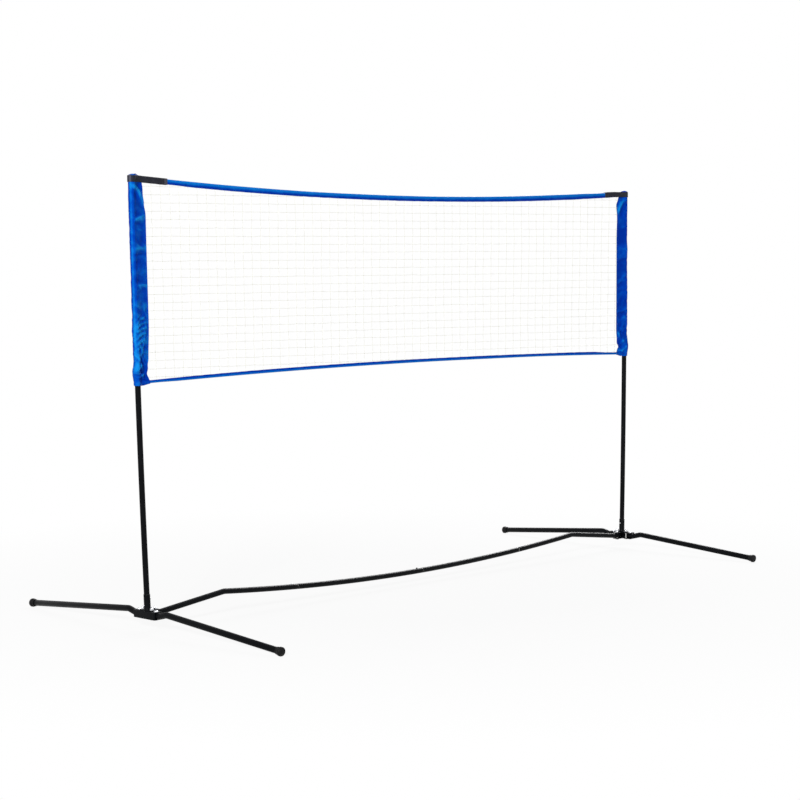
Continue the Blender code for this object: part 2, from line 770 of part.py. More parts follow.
def button_set(tag, place, across_bore, stand_out, turn, parent=None):
    """A headed button and the bent leaf that pushes it out.

    In the set's own frame the button points along +Z and the tube runs along X.
    across_bore is the radius of the bore that holds it, and stand_out is how far
    the button's tip is from the tube's axis.
    """
    flat = across_bore * math.cos(math.pi / TUBE_SIDES)
    flange = BUTTON_FLANGE_OD / 2
    pin = BUTTON_OD / 2
    seat = math.sqrt(flat ** 2 - flange ** 2) - FIT
    dome = pin / 2
    profile = [
        (0.0, seat - BUTTON_FLANGE_WALL),
        (flange, seat - BUTTON_FLANGE_WALL),
        (flange, seat),
        (pin, seat),
        (pin, stand_out - dome),
        (pin - dome / 2, stand_out - dome / 3),
        (0.0, stand_out),
    ]
    frame = Matrix.Translation(place) @ turn
    button = turned(f"{tag}_button", profile, SMALL_SIDES, STEEL, parent)
    button.matrix_local = frame
    under = seat - BUTTON_FLANGE_WALL - FIT - SPRING_WALL / 2
    floor = -math.sqrt(flat ** 2 - (SPRING_WIDTH / 2) ** 2) + FIT + SPRING_WALL / 2
    bend = (under - floor) / 4
    line = [
        (SPRING_TOE, floor),
        (-SPRING_LENGTH, floor),
        (-SPRING_LENGTH - bend / 2, floor + bend / 2),
        (-SPRING_LENGTH, floor + bend),
        (-flange, under),
        (SPRING_TOE, under),
    ]
    half = SPRING_WIDTH / 2
    points = []
    for left, right in ribbon_sides(line, SPRING_WALL):
        points += [(left.x, -half, left.y), (right.x, -half, right.y)]
        points += [(left.x, half, left.y), (right.x, half, right.y)]
    leaf = add_object(f"{tag}_spring", points, ribbon_faces(len(line)), STEEL, parent)
    leaf.matrix_local = frame


def bar_buttons():
    """One spring button at each joint of the ground bar."""
    bore = BAR_OD / 2 - 2 * BAR_WALL - FIT
    stand_out = BAR_OD / 2 + BUTTON_PROUD
    half_turn = Matrix.Rotation(math.pi, 4, "Z")
    level = Matrix.Identity(4)
    outer = BAR_JOINT_X + BAR_BUTTON_INSET
    inner = BAR_MIDDLE_X - BAR_BUTTON_INSET
    for tag, x, turn in (("bar_left", -outer, half_turn), ("bar_middle", inner, level), ("bar_right", outer, level)):
        button_set(tag, Vector((x, 0.0, bar_height(x))), bore, stand_out, turn)


def post_button(side, base):
    """The spring button that locks a post in its socket."""
    z = MOUTH_Z - POST_BUTTON_INSET
    turn = Matrix.Rotation(math.pi / 2, 4, "Y")
    button_set(f"post_{side}", post_point(z), POST_OD / 2 - POST_WALL, SOCKET_OD / 2 + BUTTON_PROUD, turn, base)


# Net and fabric

def edge_tape(name, edge, half, height, opening, ends):
    """A strip folded over an edge of the net, with its open side down or up."""
    inner = half - TAPE_WALL
    folded = [
        (-half, height),
        (-half, 0.0),
        (half, 0.0),
        (half, height),
        (inner, height),
        (inner, TAPE_WALL),
        (-inner, TAPE_WALL),
        (-inner, height),
    ]
    points = []
    rings = []
    for x in spread(ends[0], ends[1], EDGE_SPANS):
        rings.append(list(range(len(points), len(points) + len(folded))))
        points += [(x, y, edge(x) + opening * z) for y, z in folded]
    faces = []
    for ring_a, ring_b in zip(rings, rings[1:]):
        faces += ring_faces(ring_a, ring_b)
    for ring in (rings[0], rings[-1]):
        faces.append((ring[0], ring[1], ring[6], ring[7]))
        faces.append((ring[1], ring[2], ring[5], ring[6]))
        faces.append((ring[2], ring[3], ring[4], ring[5]))
    add_object(name, points, faces, BLUE)


def edge_cord(name, edge, diameter, opening, ends):
    """The tension cord that runs inside a folded tape."""
    drop = TAPE_WALL + FIT + diameter / 2
    path = []
    for x in spread(ends[0], ends[1], EDGE_SPANS):
        path.append((Vector((x, 0.0, edge(x) + opening * drop)), diameter / 2, 0.0))
    swept_tube(name, path, (0, 1, 0), CORD, sides=CORD_SIDES)


def net_edges():
    """The folded tapes along the net's top and bottom and the cords in them."""
    top_end = POST_X - fin_edge_x(SLEEVE_TOP_Z) - TAPE_END_GAP
    bottom_end = POST_X - fin_edge_x(SLEEVE_BOTTOM_Z + HEM_RISE + HEM_HEIGHT) - TAPE_END_GAP
    top_ends = (-top_end, top_end)
    bottom_ends = (-bottom_end, bottom_end)
    edge_tape("top_tape", tape_top, TAPE_HALF, TAPE_HEIGHT, -1, top_ends)
    edge_cord("top_cord", tape_top, TOP_CORD_OD, -1, top_ends)
    edge_tape("bottom_tape", hem_bottom, HEM_HALF, HEM_HEIGHT, 1, bottom_ends)
    edge_cord("bottom_cord", hem_bottom, HEM_CORD_OD, 1, bottom_ends)


def net_point(column, row):
    """Crossing of a column and a row of the net's strands, as (x, z)."""
    half = STRAND / 2
    share = row / NET_ROWS
    x = 0.0
    z = 0.0
    for _ in range(3):
        low = hem_bottom(x) + TAPE_WALL + 2 * FIT + HEM_CORD_OD + half
        high = tape_top(x) - TAPE_WALL - 2 * FIT - TOP_CORD_OD - half
        z = low + (high - low) * share
        edge = POST_X - fin_edge_x(z) - FIT - half
        x = edge * (2 * column / NET_COLUMNS - 1)
    return x, z


def net_mesh():
    """A flat grid of square strands, made as one solid."""
    half = STRAND / 2
    points = []
    number = {}
    for column in range(NET_COLUMNS + 1):
        for row in range(NET_ROWS + 1):
            x, z = net_point(column, row)
            for east in (0, 1):
                for north in (0, 1):
                    for back in (0, 1):
                        number[column, row, east, north, back] = len(points)
                        points.append((x + half * (2 * east - 1), half * (2 * back - 1), z + half * (2 * north - 1)))
    faces = []

    def flat(corners):
        """The front and back face over four corners."""
        for back in (0, 1):
            faces.append(tuple(number[(*corner, back)] for corner in corners))

    def wall(corner_a, corner_b):
        """The face that joins front and back along an edge."""
        faces.append((
            number[(*corner_a, 0)],
            number[(*corner_b, 0)],
            number[(*corner_b, 1)],
            number[(*corner_a, 1)],
        ))

    for c in range(NET_COLUMNS + 1):
        for r in range(NET_ROWS + 1):
            flat(((c, r, 0, 0), (c, r, 1, 0), (c, r, 1, 1), (c, r, 0, 1)))
            if c < NET_COLUMNS:
                flat(((c, r, 1, 0), (c + 1, r, 0, 0), (c + 1, r, 0, 1), (c, r, 1, 1)))
                wall((c, r, 1, 0), (c + 1, r, 0, 0))
                wall((c, r, 1, 1), (c + 1, r, 0, 1))
            if r < NET_ROWS:
                flat(((c, r, 0, 1), (c, r, 1, 1), (c, r + 1, 1, 0), (c, r + 1, 0, 0)))
                wall((c, r, 0, 1), (c, r + 1, 0, 0))
                wall((c, r, 1, 1), (c, r + 1, 1, 0))
            if c == 0:
                wall((c, r, 0, 0), (c, r, 0, 1))
            if c == NET_COLUMNS:
                wall((c, r, 1, 0), (c, r, 1, 1))
            if r == 0:
                wall((c, r, 0, 0), (c, r, 1, 0))
            if r == NET_ROWS:
                wall((c, r, 0, 1), (c, r, 1, 1))
    add_object("net_mesh", points, faces, TWINE)


def sleeve(side, base):
    """A fabric tube round the post that runs into a flat fin sewn to the net."""
    bore = POST_OD / 2 + SLEEVE_EASE
    outer = bore + SLEEVE_WALL
    fin = FIN_WALL / 2
    points = []
    outer_rings = []
    inner_rings = []
    loop_angles = [math.radians(a) for a in LOOP_ANGLES]
    rows = [net_point(0, row)[1] for row in range(NET_ROWS + 1)]
    for z in [SLEEVE_BOTTOM_Z] + rows + [SLEEVE_TOP_Z]:
        centre = post_axis_x(z)
        edge = fin_edge_x(z)
        middle = centre + (edge - centre) * 0.6
        rise = (z - SLEEVE_BOTTOM_Z) / SLEEVE_LENGTH
        fold = FIN_FOLD * math.sin(7 * math.pi * rise) * (1 - rise)
        neck = centre + outer * 1.6
        outline = [(centre + outer * math.cos(a), outer * math.sin(a)) for a in loop_angles]
        outline += [(neck, -2.2 * fin), (middle, fold - fin), (edge, -fin)]
        outline += [(edge, fin), (middle, fold + fin), (neck, 2.2 * fin)]
        angles = loop_angles + [math.radians(a) for a in (325, 342, 354, 366, 378, 395)]
        hole = [(centre + bore * math.cos(a), bore * math.sin(a)) for a in angles]
        for ring_points, rings in ((outline, outer_rings), (hole, inner_rings)):
            rings.append(list(range(len(points), len(points) + len(ring_points))))
            points += [(x, y, z) for x, y in ring_points]
    faces = []
    for rings in (outer_rings, inner_rings):
        for ring_a, ring_b in zip(rings, rings[1:]):
            faces += ring_faces(ring_a, ring_b)
    for index in (0, -1):
        faces += ring_faces(outer_rings[index], inner_rings[index])
    add_object(f"pole_sleeve_{side}", points, faces, BLUE, base)


def corner_band(side, base):
    """Webbing that loops round the top of a sleeve and runs along both faces of the tape."""
    z = tape_top(POST_X) - BAND_HEIGHT / 2
    centre = post_axis_x(z)
    loop = POST_OD / 2 + SLEEVE_EASE + SLEEVE_WALL + FIT + BAND_WALL / 2
    beside = TAPE_HALF + FIT + BAND_WALL / 2
    shoulder = centre + FIN_TOP_REACH + loop / 2
    end = centre + BAND_LENGTH
    line = [(end, beside), (shoulder, beside)]
    for angle in LOOP_ANGLES[1:-1]:
        a = math.radians(angle)
        line.append((centre + loop * math.cos(a), loop * math.sin(a)))
    line += [(shoulder, -beside), (end, -beside)]
    points = []
    for left, right in ribbon_sides(line, BAND_WALL):
        for reach in (0.0, -BAND_HEIGHT):
            for spot in (left, right):
                top = tape_top(POST_X - max(spot.x, 0.0)) + BAND_ABOVE_TAPE
                points.append((spot.x, spot.y, top + reach))
    add_object(f"corner_band_{side}", points, ribbon_faces(len(line)), WEBBING, base)


clear_scene()
PAINT = material("black_paint", (0.012, 0.013, 0.016), 0.35, 0.3)
STEEL = material("zinc_steel", (0.55, 0.56, 0.58), 0.3, 1.0)
CHROME = material("bright_nut", (0.75, 0.76, 0.78), 0.15, 1.0)
RUBBER = material("black_rubber", (0.01, 0.01, 0.011), 0.7)
PLASTIC = material("black_plastic", (0.012, 0.012, 0.014), 0.45)
BLUE = material("blue_fabric", (0.004, 0.07, 0.42), 0.75)
WEBBING = material("black_webbing", (0.02, 0.02, 0.025), 0.8)
CORD = material("white_cord", (0.8, 0.8, 0.78), 0.8)
TWINE = material("net_twine", (0.78, 0.78, 0.75), 0.7)

for side_name, side_turn in SIDES.items():
    side_x = -POST_X if side_name == "left" else POST_X
    base_frame = add_empty(f"base_{side_name}", (side_x, 0.0, 0.0), side_turn)
    bracket(side_name, base_frame)
    socket(side_name, base_frame)
    for end_name, end_sign in base_ends(side_name):
        leg(side_name, end_name, end_sign, base_frame)
    base_fasteners(side_name, base_frame)
    post(side_name, base_frame)
    post_button(side_name, base_frame)
    bar_end_tube(side_name, base_frame)
    sleeve(side_name, base_frame)
    corner_band(side_name, base_frame)
bar_mid_tubes()
bar_buttons()
net_edges()
net_mesh()
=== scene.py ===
"""Looks of a portable badminton net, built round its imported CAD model.

Units are metres, in the CAD model's frame: the origin is on the ground under the
middle of the net, +X runs along the net, +Y away from the camera's side and +Z up.
Pieces of a base are made in the base's own frame, with +X pointing inward from
the post. Front is the side that the photograph shows.
"""
import math
import random

import bmesh
import bpy
import numpy as np
from mathutils import Matrix, Vector, noise


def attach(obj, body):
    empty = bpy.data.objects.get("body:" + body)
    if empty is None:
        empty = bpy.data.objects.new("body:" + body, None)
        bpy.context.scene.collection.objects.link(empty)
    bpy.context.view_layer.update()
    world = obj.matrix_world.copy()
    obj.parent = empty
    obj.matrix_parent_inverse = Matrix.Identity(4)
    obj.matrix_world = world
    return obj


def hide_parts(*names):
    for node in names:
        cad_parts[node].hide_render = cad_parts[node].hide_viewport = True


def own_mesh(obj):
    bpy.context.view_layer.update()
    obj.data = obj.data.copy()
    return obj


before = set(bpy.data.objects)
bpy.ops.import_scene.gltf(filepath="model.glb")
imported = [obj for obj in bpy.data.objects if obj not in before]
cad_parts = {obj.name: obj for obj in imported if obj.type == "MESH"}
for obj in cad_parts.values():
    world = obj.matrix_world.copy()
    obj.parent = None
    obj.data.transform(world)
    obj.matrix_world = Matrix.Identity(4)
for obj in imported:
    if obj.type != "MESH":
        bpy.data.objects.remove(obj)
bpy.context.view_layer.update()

# Sizes of the CAD model
FIT = 0.0003
POST_X = 1.300
POST_TOP = 1.550
POST_OD = 0.020
POST_WALL = 0.0012
POST_LEAN = 0.0533
POST_PULL = 0.023
POST_SPLIT_Z = 0.911
POST_INSERT = 0.060
POST_CAP_RIM = 0.001
POST_CAP_HEIGHT = 0.0065
POST_CAP_STEM = 0.015
BRACKET_Z = 0.053
BRACKET_LENGTH = 0.116
BRACKET_REACH = 0.015
PLATE_WALL = 0.002
TONGUE_WIDTH = 0.028
TONGUE_REACH = 0.046
CORNER_ROUND = 0.004
TONGUE_FILLET = 0.005
LEG_OD = 0.022
LEG_WALL = 0.0012
LEG_PIVOT_Y = 0.046
LEG_TAIL = 0.009
LEG_STRAIGHT = 0.022
LEG_KINK_Y = 0.104
LEG_KINK_RISE = 0.009
LEG_REACH = 0.690
LEG_BEND_RADIUS = 0.040
FOOT_HEAD_OD = 0.031
FOOT_HEAD_LENGTH = 0.013
FOOT_NECK_LENGTH = 0.019
FOOT_NECK_WALL = 0.0018
FOOT_FLOOR = 0.004
SOLE_DEPTH = 0.0010
SOCKET_WALL = 0.0012
SOCKET_RISE = 0.0545
FLANGE_WALL = 0.002
FLANGE_LENGTH = 0.062
FLANGE_WIDTH = 0.027
SOCKET_BOLT_Y = 0.024
BAR_OD = 0.020
BAR_WALL = 0.0012
BAR_BOLT_X = 0.032
BAR_TAIL = 0.012
BAR_STRAIGHT = 0.020
BAR_KINK_X = 0.340
BAR_KINK_Z = 0.0895
BAR_SAG = 0.0443
BAR_JOINT_X = 0.611
BAR_MIDDLE_X = 0.0445
BAR_INSERT = 0.050
BAR_BEND_RADIUS = 0.060
SWAGE_TAPER = 0.004
BOLT_OD = 0.008
BOLT_HEAD = 0.013
BOLT_HEAD_HEIGHT = 0.004
NUT_FLATS = 0.013
NUT_HEX_HEIGHT = 0.005
NUT_HEIGHT = 0.0115
NUT_BORE_DEPTH = 0.008
RIVET_HEAD_OD = 0.015
RIVET_HEAD_HEIGHT = 0.005
RIVET_TAIL_OD = 0.012
RIVET_TAIL_HEIGHT = 0.0025
BUTTON_OD = 0.006
BUTTON_PROUD = 0.0035
BUTTON_FLANGE_OD = 0.0076
BUTTON_FLANGE_WALL = 0.001
BAR_BUTTON_INSET = 0.028
POST_BUTTON_INSET = 0.018
SPRING_WALL = 0.0006
SPRING_WIDTH = 0.004
SPRING_LENGTH = 0.022
SPRING_TOE = 0.005
SAG = 0.0414
TAPE_DROP = 0.0048
TAPE_HEIGHT = 0.0175
TAPE_WALL = 0.0008
TAPE_END_GAP = 0.0020
TOP_CORD_OD = 0.0042
HEM_RISE = 0.0077
HEM_BOW = 0.0199
HEM_HEIGHT = 0.010
HEM_CORD_OD = 0.0024
SLEEVE_TOP_Z = 1.546
SLEEVE_BOTTOM_Z = 0.836
SLEEVE_LENGTH = SLEEVE_TOP_Z - SLEEVE_BOTTOM_Z
SLEEVE_WALL = 0.0012
SLEEVE_EASE = 0.0015
FIN_REACH = 0.055
FIN_TOP_REACH = 0.041
FIN_TOP_SLOPE = 0.070
FIN_HEM_REACH = 0.050
FIN_HEM_SPAN = 0.080
BAND_HEIGHT = 0.022
BAND_LENGTH = 0.139
BAND_WALL = 0.0012
BAND_ABOVE_TAPE = 0.0035
BAND_EXTRA = {"left": 0.010, "right": 0.0}

# Cloth as it looks
CLOTH_RADIUS = 0.0121
SEAM_X = 0.0205
SLEEVE_CLOTH = 0.0005
PANEL_START = math.radians(92)
PANEL_SPANS = 34
LOOP_SPANS = 28
# Spans over which a sleeve's creases fade in below its band and its top and bottom edges are lifted
CALM_SPAN = 0.018
TOP_SPAN = 0.030
TOP_LIFT = 0.0080
BOTTOM_SPAN = 0.045
# A sleeve is busiest with small creases about a height: the share everywhere and the share added there
BUSY_Z = 0.93
BUSY_SPAN = 0.12
BUSY = {"left": (0.75, 0.8), "right": (0.40, 0.5)}
# How far the cloth stands out to be painted as pale as it gets, a painted highlight on ridges
PALE_OUT = 0.007
# Painted light on the sleeves: the angle round the post, in degrees, of the left sleeve's painted highlight
# strip; and each sleeve's tone before its folds, the right one darker as painted shade.
HIGHLIGHT_TURN = 146
BARE_TONE = {"left": 0.50, "right": 0.25}
PANEL_SAG = 0.0018
SEWN_SHARE = 0.13
EDGE_HALF = 0.0011
POST_CLEARANCE = 0.0107
PINCH_LOW_Z = 1.478
SLEEVE_ROWS = 350
SLEEVE_HEM = 0.012
HEM_SEAMS = (0.0035, 0.0115)
HIDDEN_FOLDS = 26
TUCK = 0.007
TUCK_Z = 0.8496
TAPE_CLOTH = 0.0005
TAPE_SEED = 1.7
HEM_SEED = 4.2
# A tape's section from its seam to its cord: (share of its fullness, share of its height)
TAPE_FULLNESS = ((0.38, 0.85), (0.72, 0.77), (0.93, 0.68), (1.0, 0.58), (1.0, 0.44), (1.0, 0.30))
# How deep or pale the tape's cloth is painted along the same section, from its seam to its middle: painted
# shade at its seam and the slope beside it, a painted highlight on the bead round its cord
TAPE_TONES = (0.32, 0.28, 0.20, 0.16, 0.18, 0.34, 0.60, 0.74, 0.84, 0.88, 0.90, 0.90)
BAND_LOW_Z = 1.525
BAND_TURN = 62
WEAVE_PITCH = 0.00055
# Stitches: from one to the next, length and radius
SLEEVE_STITCH = (0.0042, 0.0030, 0.00024)
TAPE_STITCH = (0.0048, 0.0034, 0.00024)
BAND_STITCH = (0.0030, 0.0022, 0.00022)

# Small shapes as they look
BAR_LIP = 0.0005
BUTTON_ROUND = 0.0014
WELD_HEIGHT = 0.0021
WELD_RIPPLE = 0.00012
HEX_ANGLES = [math.pi / 3 * i for i in range(6)]

# Heights and places worked out from them
PLATE_GAP_HALF = LEG_OD / 2 + FIT
PLATE_TOP_Z = BRACKET_Z + PLATE_GAP_HALF + PLATE_WALL
PLATE_BOTTOM_Z = BRACKET_Z - PLATE_GAP_HALF - PLATE_WALL
FLANGE_TOP_Z = PLATE_TOP_Z + FIT + FLANGE_WALL
SEAT_Z = FLANGE_TOP_Z + FIT
MOUTH_Z = FLANGE_TOP_Z + SOCKET_RISE
SOCKET_OD = POST_OD + 2 * (FIT + SOCKET_WALL)
WEB_INNER_X = -(math.hypot(LEG_TAIL, LEG_OD / 2) + 3 * FIT)
WEB_OUTER_X = WEB_INNER_X - PLATE_WALL
# How far a bolt comes up above the face its nut sits on
BOLT_GRIP = FIT + NUT_BORE_DEPTH - 0.0015
FOOT_Z = FOOT_HEAD_OD / 2 - SOLE_DEPTH
BAR_Z = BRACKET_Z + PLATE_GAP_HALF - FIT - BAR_OD / 2
BAR_KINK_SPAN = POST_X - BAR_KINK_X
POST_TUBE_TOP = POST_TOP - POST_CAP_HEIGHT - FIT
TAPE_HALF = TOP_CORD_OD / 2 + FIT + TAPE_WALL
HEM_HALF = HEM_CORD_OD / 2 + FIT + TAPE_WALL
BASES = {
    "left": Matrix.Translation((-POST_X, 0, 0)),
    "right": Matrix.Translation((POST_X, 0, 0)) @ Matrix.Rotation(math.pi, 4, "Z"),
}
ENDS = {"left": (("rear", 1), ("front", -1)), "right": (("front", 1), ("rear", -1))}
WORLD = Matrix.Identity(4)

# Camera, fitted to the photograph's posts, legs and ground bar
PICTURE = 800
FOCAL = 1909.2342
CAMERA_PLACE = (-5.2627, -5.1995, 1.2078)
CAMERA_YAW = 0.78520
CAMERA_PITCH = 0.0662
CAMERA_ROLL = -0.0118

# Net as the photograph shows it: strand places along the net and up it
NET_COLUMNS = 58
NET_FIRST_X = -1.2450
NET_PITCH = 0.03951
NET_PITCH_GROWTH = 0.0000782
NET_FAN = 0.016
NET_LEAN = 0.0085
NET_MIDDLE_Z = 1.15
NET_ROWS = range(-5, 19)
NET_ROW_Z = 1.3799
NET_ROW_SLOPE = 0.0063
NET_ROW_PITCH = 0.02968
NET_ROW_GROWTH = 0.0012
STRAND_RADIUS = 0.00055
STRAND_BOW = 0.0006
KNOT_SIZE = 0.00115
KNOT_STRAY = (0.0011, 0.0005, 0.0009)
# How near a tape a knot is held by it, and how far in it is left out
NET_HELD = 0.003
NET_BITE = 0.0012
# Half the gap between a tape's two layers where the mesh is sewn in
PINCHED = STRAND_RADIUS + TAPE_CLOTH / 2 + 0.0001

# Folds on the side of each sleeve that the photograph shows. Each row is in millimetres: the fold's width
# above and below its line, how far it stands out, and then the across and the height of each place on its
# line. Across is measured from the pocket's seam, negative round the post.
FOLDS = {
    "left": (
        (7, 10, 5, -36, 1518.5, -18, 1513.1, -0.7, 1504.2, 12.6, 1489, 21.7, 1470, 26, 1452),
        (10, 9, -3, 6, 1520, 18, 1505, 28, 1485),
        (8, 9, -6, 13, 1519, 27, 1509),
        (10, 12, -2.4, -11.9, 1476.3, 12.6, 1457.8, 22, 1438.8),
        (4, 9, 4, -13.4, 1400.1, 3.7, 1407.2, 24.5, 1414.3),
        (8, 10, -3, -11.9, 1388.1, 20, 1383.4),
        (12, 12, 1.4, -13.2, 1361.3, 22.7, 1366.6),
        (10, 12, -2, -14.6, 1330.1, 24.2, 1320.8),
        (10, 6, 2.2, -15.9, 1301.3, 30.1, 1303.9),
        (4, 9, -3.6, -20.7, 1281.6, 34.3, 1284.6),
        (12, 10, -1.8, -14.1, 1258.1, 31.2, 1248.4),
        (12, 12, 1.4, -19.5, 1226.9, 30.4, 1229),
        (12, 8, -2.2, -21, 1195.6, 28.8, 1187.9),
        (4, 8, 2.6, -24.3, 1177.6, 31.6, 1178.2),
        (10, 10, -1.8, -20, 1140, 30, 1128),
        (6, 5, 2, -44, 1044, -30, 1060, -10, 1078),
        (6, 5, 3.4, -44, 1022, -33.4, 1034.5, -25.2, 1046.4, -9.2, 1058, 12, 1068),
        (6, 5, 3.8, -44, 1006, -34, 1020, -23.1, 1034.3, -4.1, 1045.8, 16, 1051),
        (6, 5, 3.8, -44, 990, -35.4, 1004.3, -26.1, 1019.9, -1.3, 1028.8, 20, 1034),
        (6, 5, 3.6, -44, 975, -36, 988.6, -24.4, 998.1, -6, 1009.6, 14, 1016),
        (6, 5, 3.2, -44, 955, -30, 972, -12, 985, 10, 993),
        (6, 5, 3, -44, 940, -33.2, 957.2, -15, 966.7),
        (6, 7, 4.4, -31.3, 940.3, -18.3, 925.4, -25.2, 906.3, -33, 894.3),
        (6, 5, 4.2, -44, 905, -33.2, 888.2, -20, 896.4, -7, 906.1),
        (9, 9, -4.8, -3.2, 922.2, 13.6, 897.1, 19.5, 877.4),
        (7, 7, 3, 6, 948, 23, 922, 30, 905),
        (5, 6, 4, -22.9, 865, -1.9, 872.4, 19.7, 881),
        (5, 5, -2.8, -40, 878, -13.6, 869.4),
        (4, 5, -3.4, -40, 862, -21.7, 861.5, 25, 850.3),
    ),
    "right": (
        (12, 8, 4.4, -30, 1531, -12.1, 1522.6, 2.4, 1505, 20.9, 1477.8, 28.8, 1461.5),
        (7, 9, -3, -16.4, 1502.4, -3.7, 1480.7, 10.3, 1456.3),
        (6, 5, 1.8, -3.3, 1442.9, -17.8, 1432.1),
        (6, 5, 1.6, -3.4, 1396.9, -16.2, 1402.3),
        (12, 10, -1.8, -20, 1340, 25, 1330),
        (10, 8, 1.6, -20, 1300, 28, 1306),
        (10, 10, -1.8, -15, 1255, 28, 1245),
        (8, 6, 2.8, -10.5, 1188.1, 6.1, 1170.6, 28, 1153.3),
        (8, 8, 2, 27.7, 1105.9, -14, 1116.1),
        (8, 4, 2.8, 29, 1028.4, 5.2, 1033.6, -12.9, 1039.5),
        (5, 7, -2.8, 29, 1021.5, -14.6, 1023),
        (10, 10, 2, 23.1, 997.3, -8.3, 1004.7),
        (7, 6, 2.6, 29, 969.6, 1.2, 950.6, -14, 940.1),
        (9, 7, 3.2, 26.4, 940.6, 7.7, 912.7, -18, 890),
        (6, 7, -2.6, 33.7, 905.3, 14.4, 885.7),
        (6, 6, -3.6, 34, 883.5, 7.1, 878.7),
        (6, 5, 3, 25.2, 858.9, 0, 860.8, -19, 879.2),
        (3, 4, -1.2, 28.8, 850.9, -33.6, 841.6),
    ),
}
# How far a sleeve's sewn edge and its outer side shift at a height: (height, span, shift)
EDGE_SHAPE = {
    "left": (
        (1.478, 0.022, -0.0050), (1.448, 0.018, -0.0050), (0.93, 0.07, -0.0060), (0.908, 0.014, -0.0042),
        (0.877, 0.016, -0.0090), (0.838, 0.008, 0.0020),
    ),
    "right": (
        (1.490, 0.022, 0.0085), (1.435, 0.045, -0.0036), (0.915, 0.022, -0.0040), (0.8790, 0.0115, -0.0120),
        (0.862, 0.008, -0.0020),
    ),
}
BULGE = {
    "left": ((1.25, 0.20, -0.0011), (1.03, 0.05, 0.0006), (0.880, 0.024, 0.0062)),
    "right": ((1.45, 0.10, -0.0014), (1.27, 0.09, -0.0012), (0.882, 0.030, 0.0068)),
}
# How far each sleeve's bottom edge rises at the post and at the fin's edge
HEM_LIFT = {"left": (0.0020, 0.0066), "right": (0.0010, 0.0075)}
# How far each tape reaches past the CAD's plain strip, at its corded edge and at its sewn edge: (places along
# the net, millimetres there)
TAPE_EXTRA = {
    "top_edge": (
        (
            (-0.95, -0.50, -0.30, 0.14, 0.37, 0.60, 0.84, 1.05, 1.12),
            (0.4, 0.4, 1.3, 1.8, 2.5, 3.7, 5.0, 4.8, 3.6),
        ),
        ((-1.13, -1.08, -0.90, -0.68, -0.45, -0.08, 0.20, 1.12), (0.0, 1.4, 1.8, 1.8, 1.2, 1.0, 0.2, 0.0)),
    ),
    "bottom_edge": (
        ((-1.22, -1.15, 0.45, 0.76, 1.22), (0.0, 1.5, 1.6, 0.0, -0.4)),
        (
            (-1.22, -1.15, -0.80, 0.25, 0.52, 0.76, 1.02, 1.12, 1.20),
            (0.0, 0.6, 1.1, 0.9, 1.3, 1.8, 3.4, 3.4, 0.0),
        ),
    ),
}


def camera():
    """A camera at the photograph's view."""
    ahead = Vector((
        math.sin(CAMERA_YAW) * math.cos(CAMERA_PITCH),
        math.cos(CAMERA_YAW) * math.cos(CAMERA_PITCH),
        -math.sin(CAMERA_PITCH),
    ))
    level = Vector((math.cos(CAMERA_YAW), -math.sin(CAMERA_YAW), 0.0))
    upright = level.cross(ahead)
    right = level * math.cos(CAMERA_ROLL) + upright * math.sin(CAMERA_ROLL)
    up = upright * math.cos(CAMERA_ROLL) - level * math.sin(CAMERA_ROLL)
    data = bpy.data.cameras.new("camera")
    data.sensor_width = 36.0
    data.lens = FOCAL / PICTURE * data.sensor_width
    data.clip_end = 100.0
    made = bpy.data.objects.new("camera", data)
    turn = Matrix((right, up, -ahead)).transposed().to_4x4()
    made.matrix_world = Matrix.Translation(CAMERA_PLACE) @ turn
    bpy.context.scene.collection.objects.link(made)
    bpy.context.scene.camera = made


# Materials

class Nodes:
    """A tree of shader nodes that is being wired up."""

    def __init__(self, tree):
        self.tree = tree

    def put(self, node, inputs):
        for key, value in inputs.items():
            if isinstance(value, bpy.types.NodeSocket):
                self.tree.links.new(value, node.inputs[key])
            else:
                node.inputs[key].default_value = value

    def node(self, kind, inputs=None, output=0, **settings):
        made = self.tree.nodes.new("ShaderNode" + kind)
        for key, value in settings.items():
            setattr(made, key, value)
        self.put(made, inputs or {})
        return made.outputs[output]

    def math(self, operation, a, b=0.0):
        return self.node("Math", {0: a, 1: b}, operation=operation)

    def times(self, a, b):
        return self.math("MULTIPLY", a, b)

    def plus(self, a, b):
        return self.math("ADD", a, b)

    def remap(self, value, low, high, to_low=0.0, to_high=1.0):
        inputs = {"Value": value, "From Min": low, "From Max": high, "To Min": to_low, "To Max": to_high}
        return self.node("MapRange", inputs)

    def seen(self):
        """1 for what the camera sees, also mirrored or through glass, and 0 for the light's own paths."""
        rays = self.node("LightPath").node.outputs
        level = self.math("MAXIMUM", rays["Is Camera Ray"], rays["Is Glossy Ray"])
        return self.math("MAXIMUM", level, rays["Is Transmission Ray"])


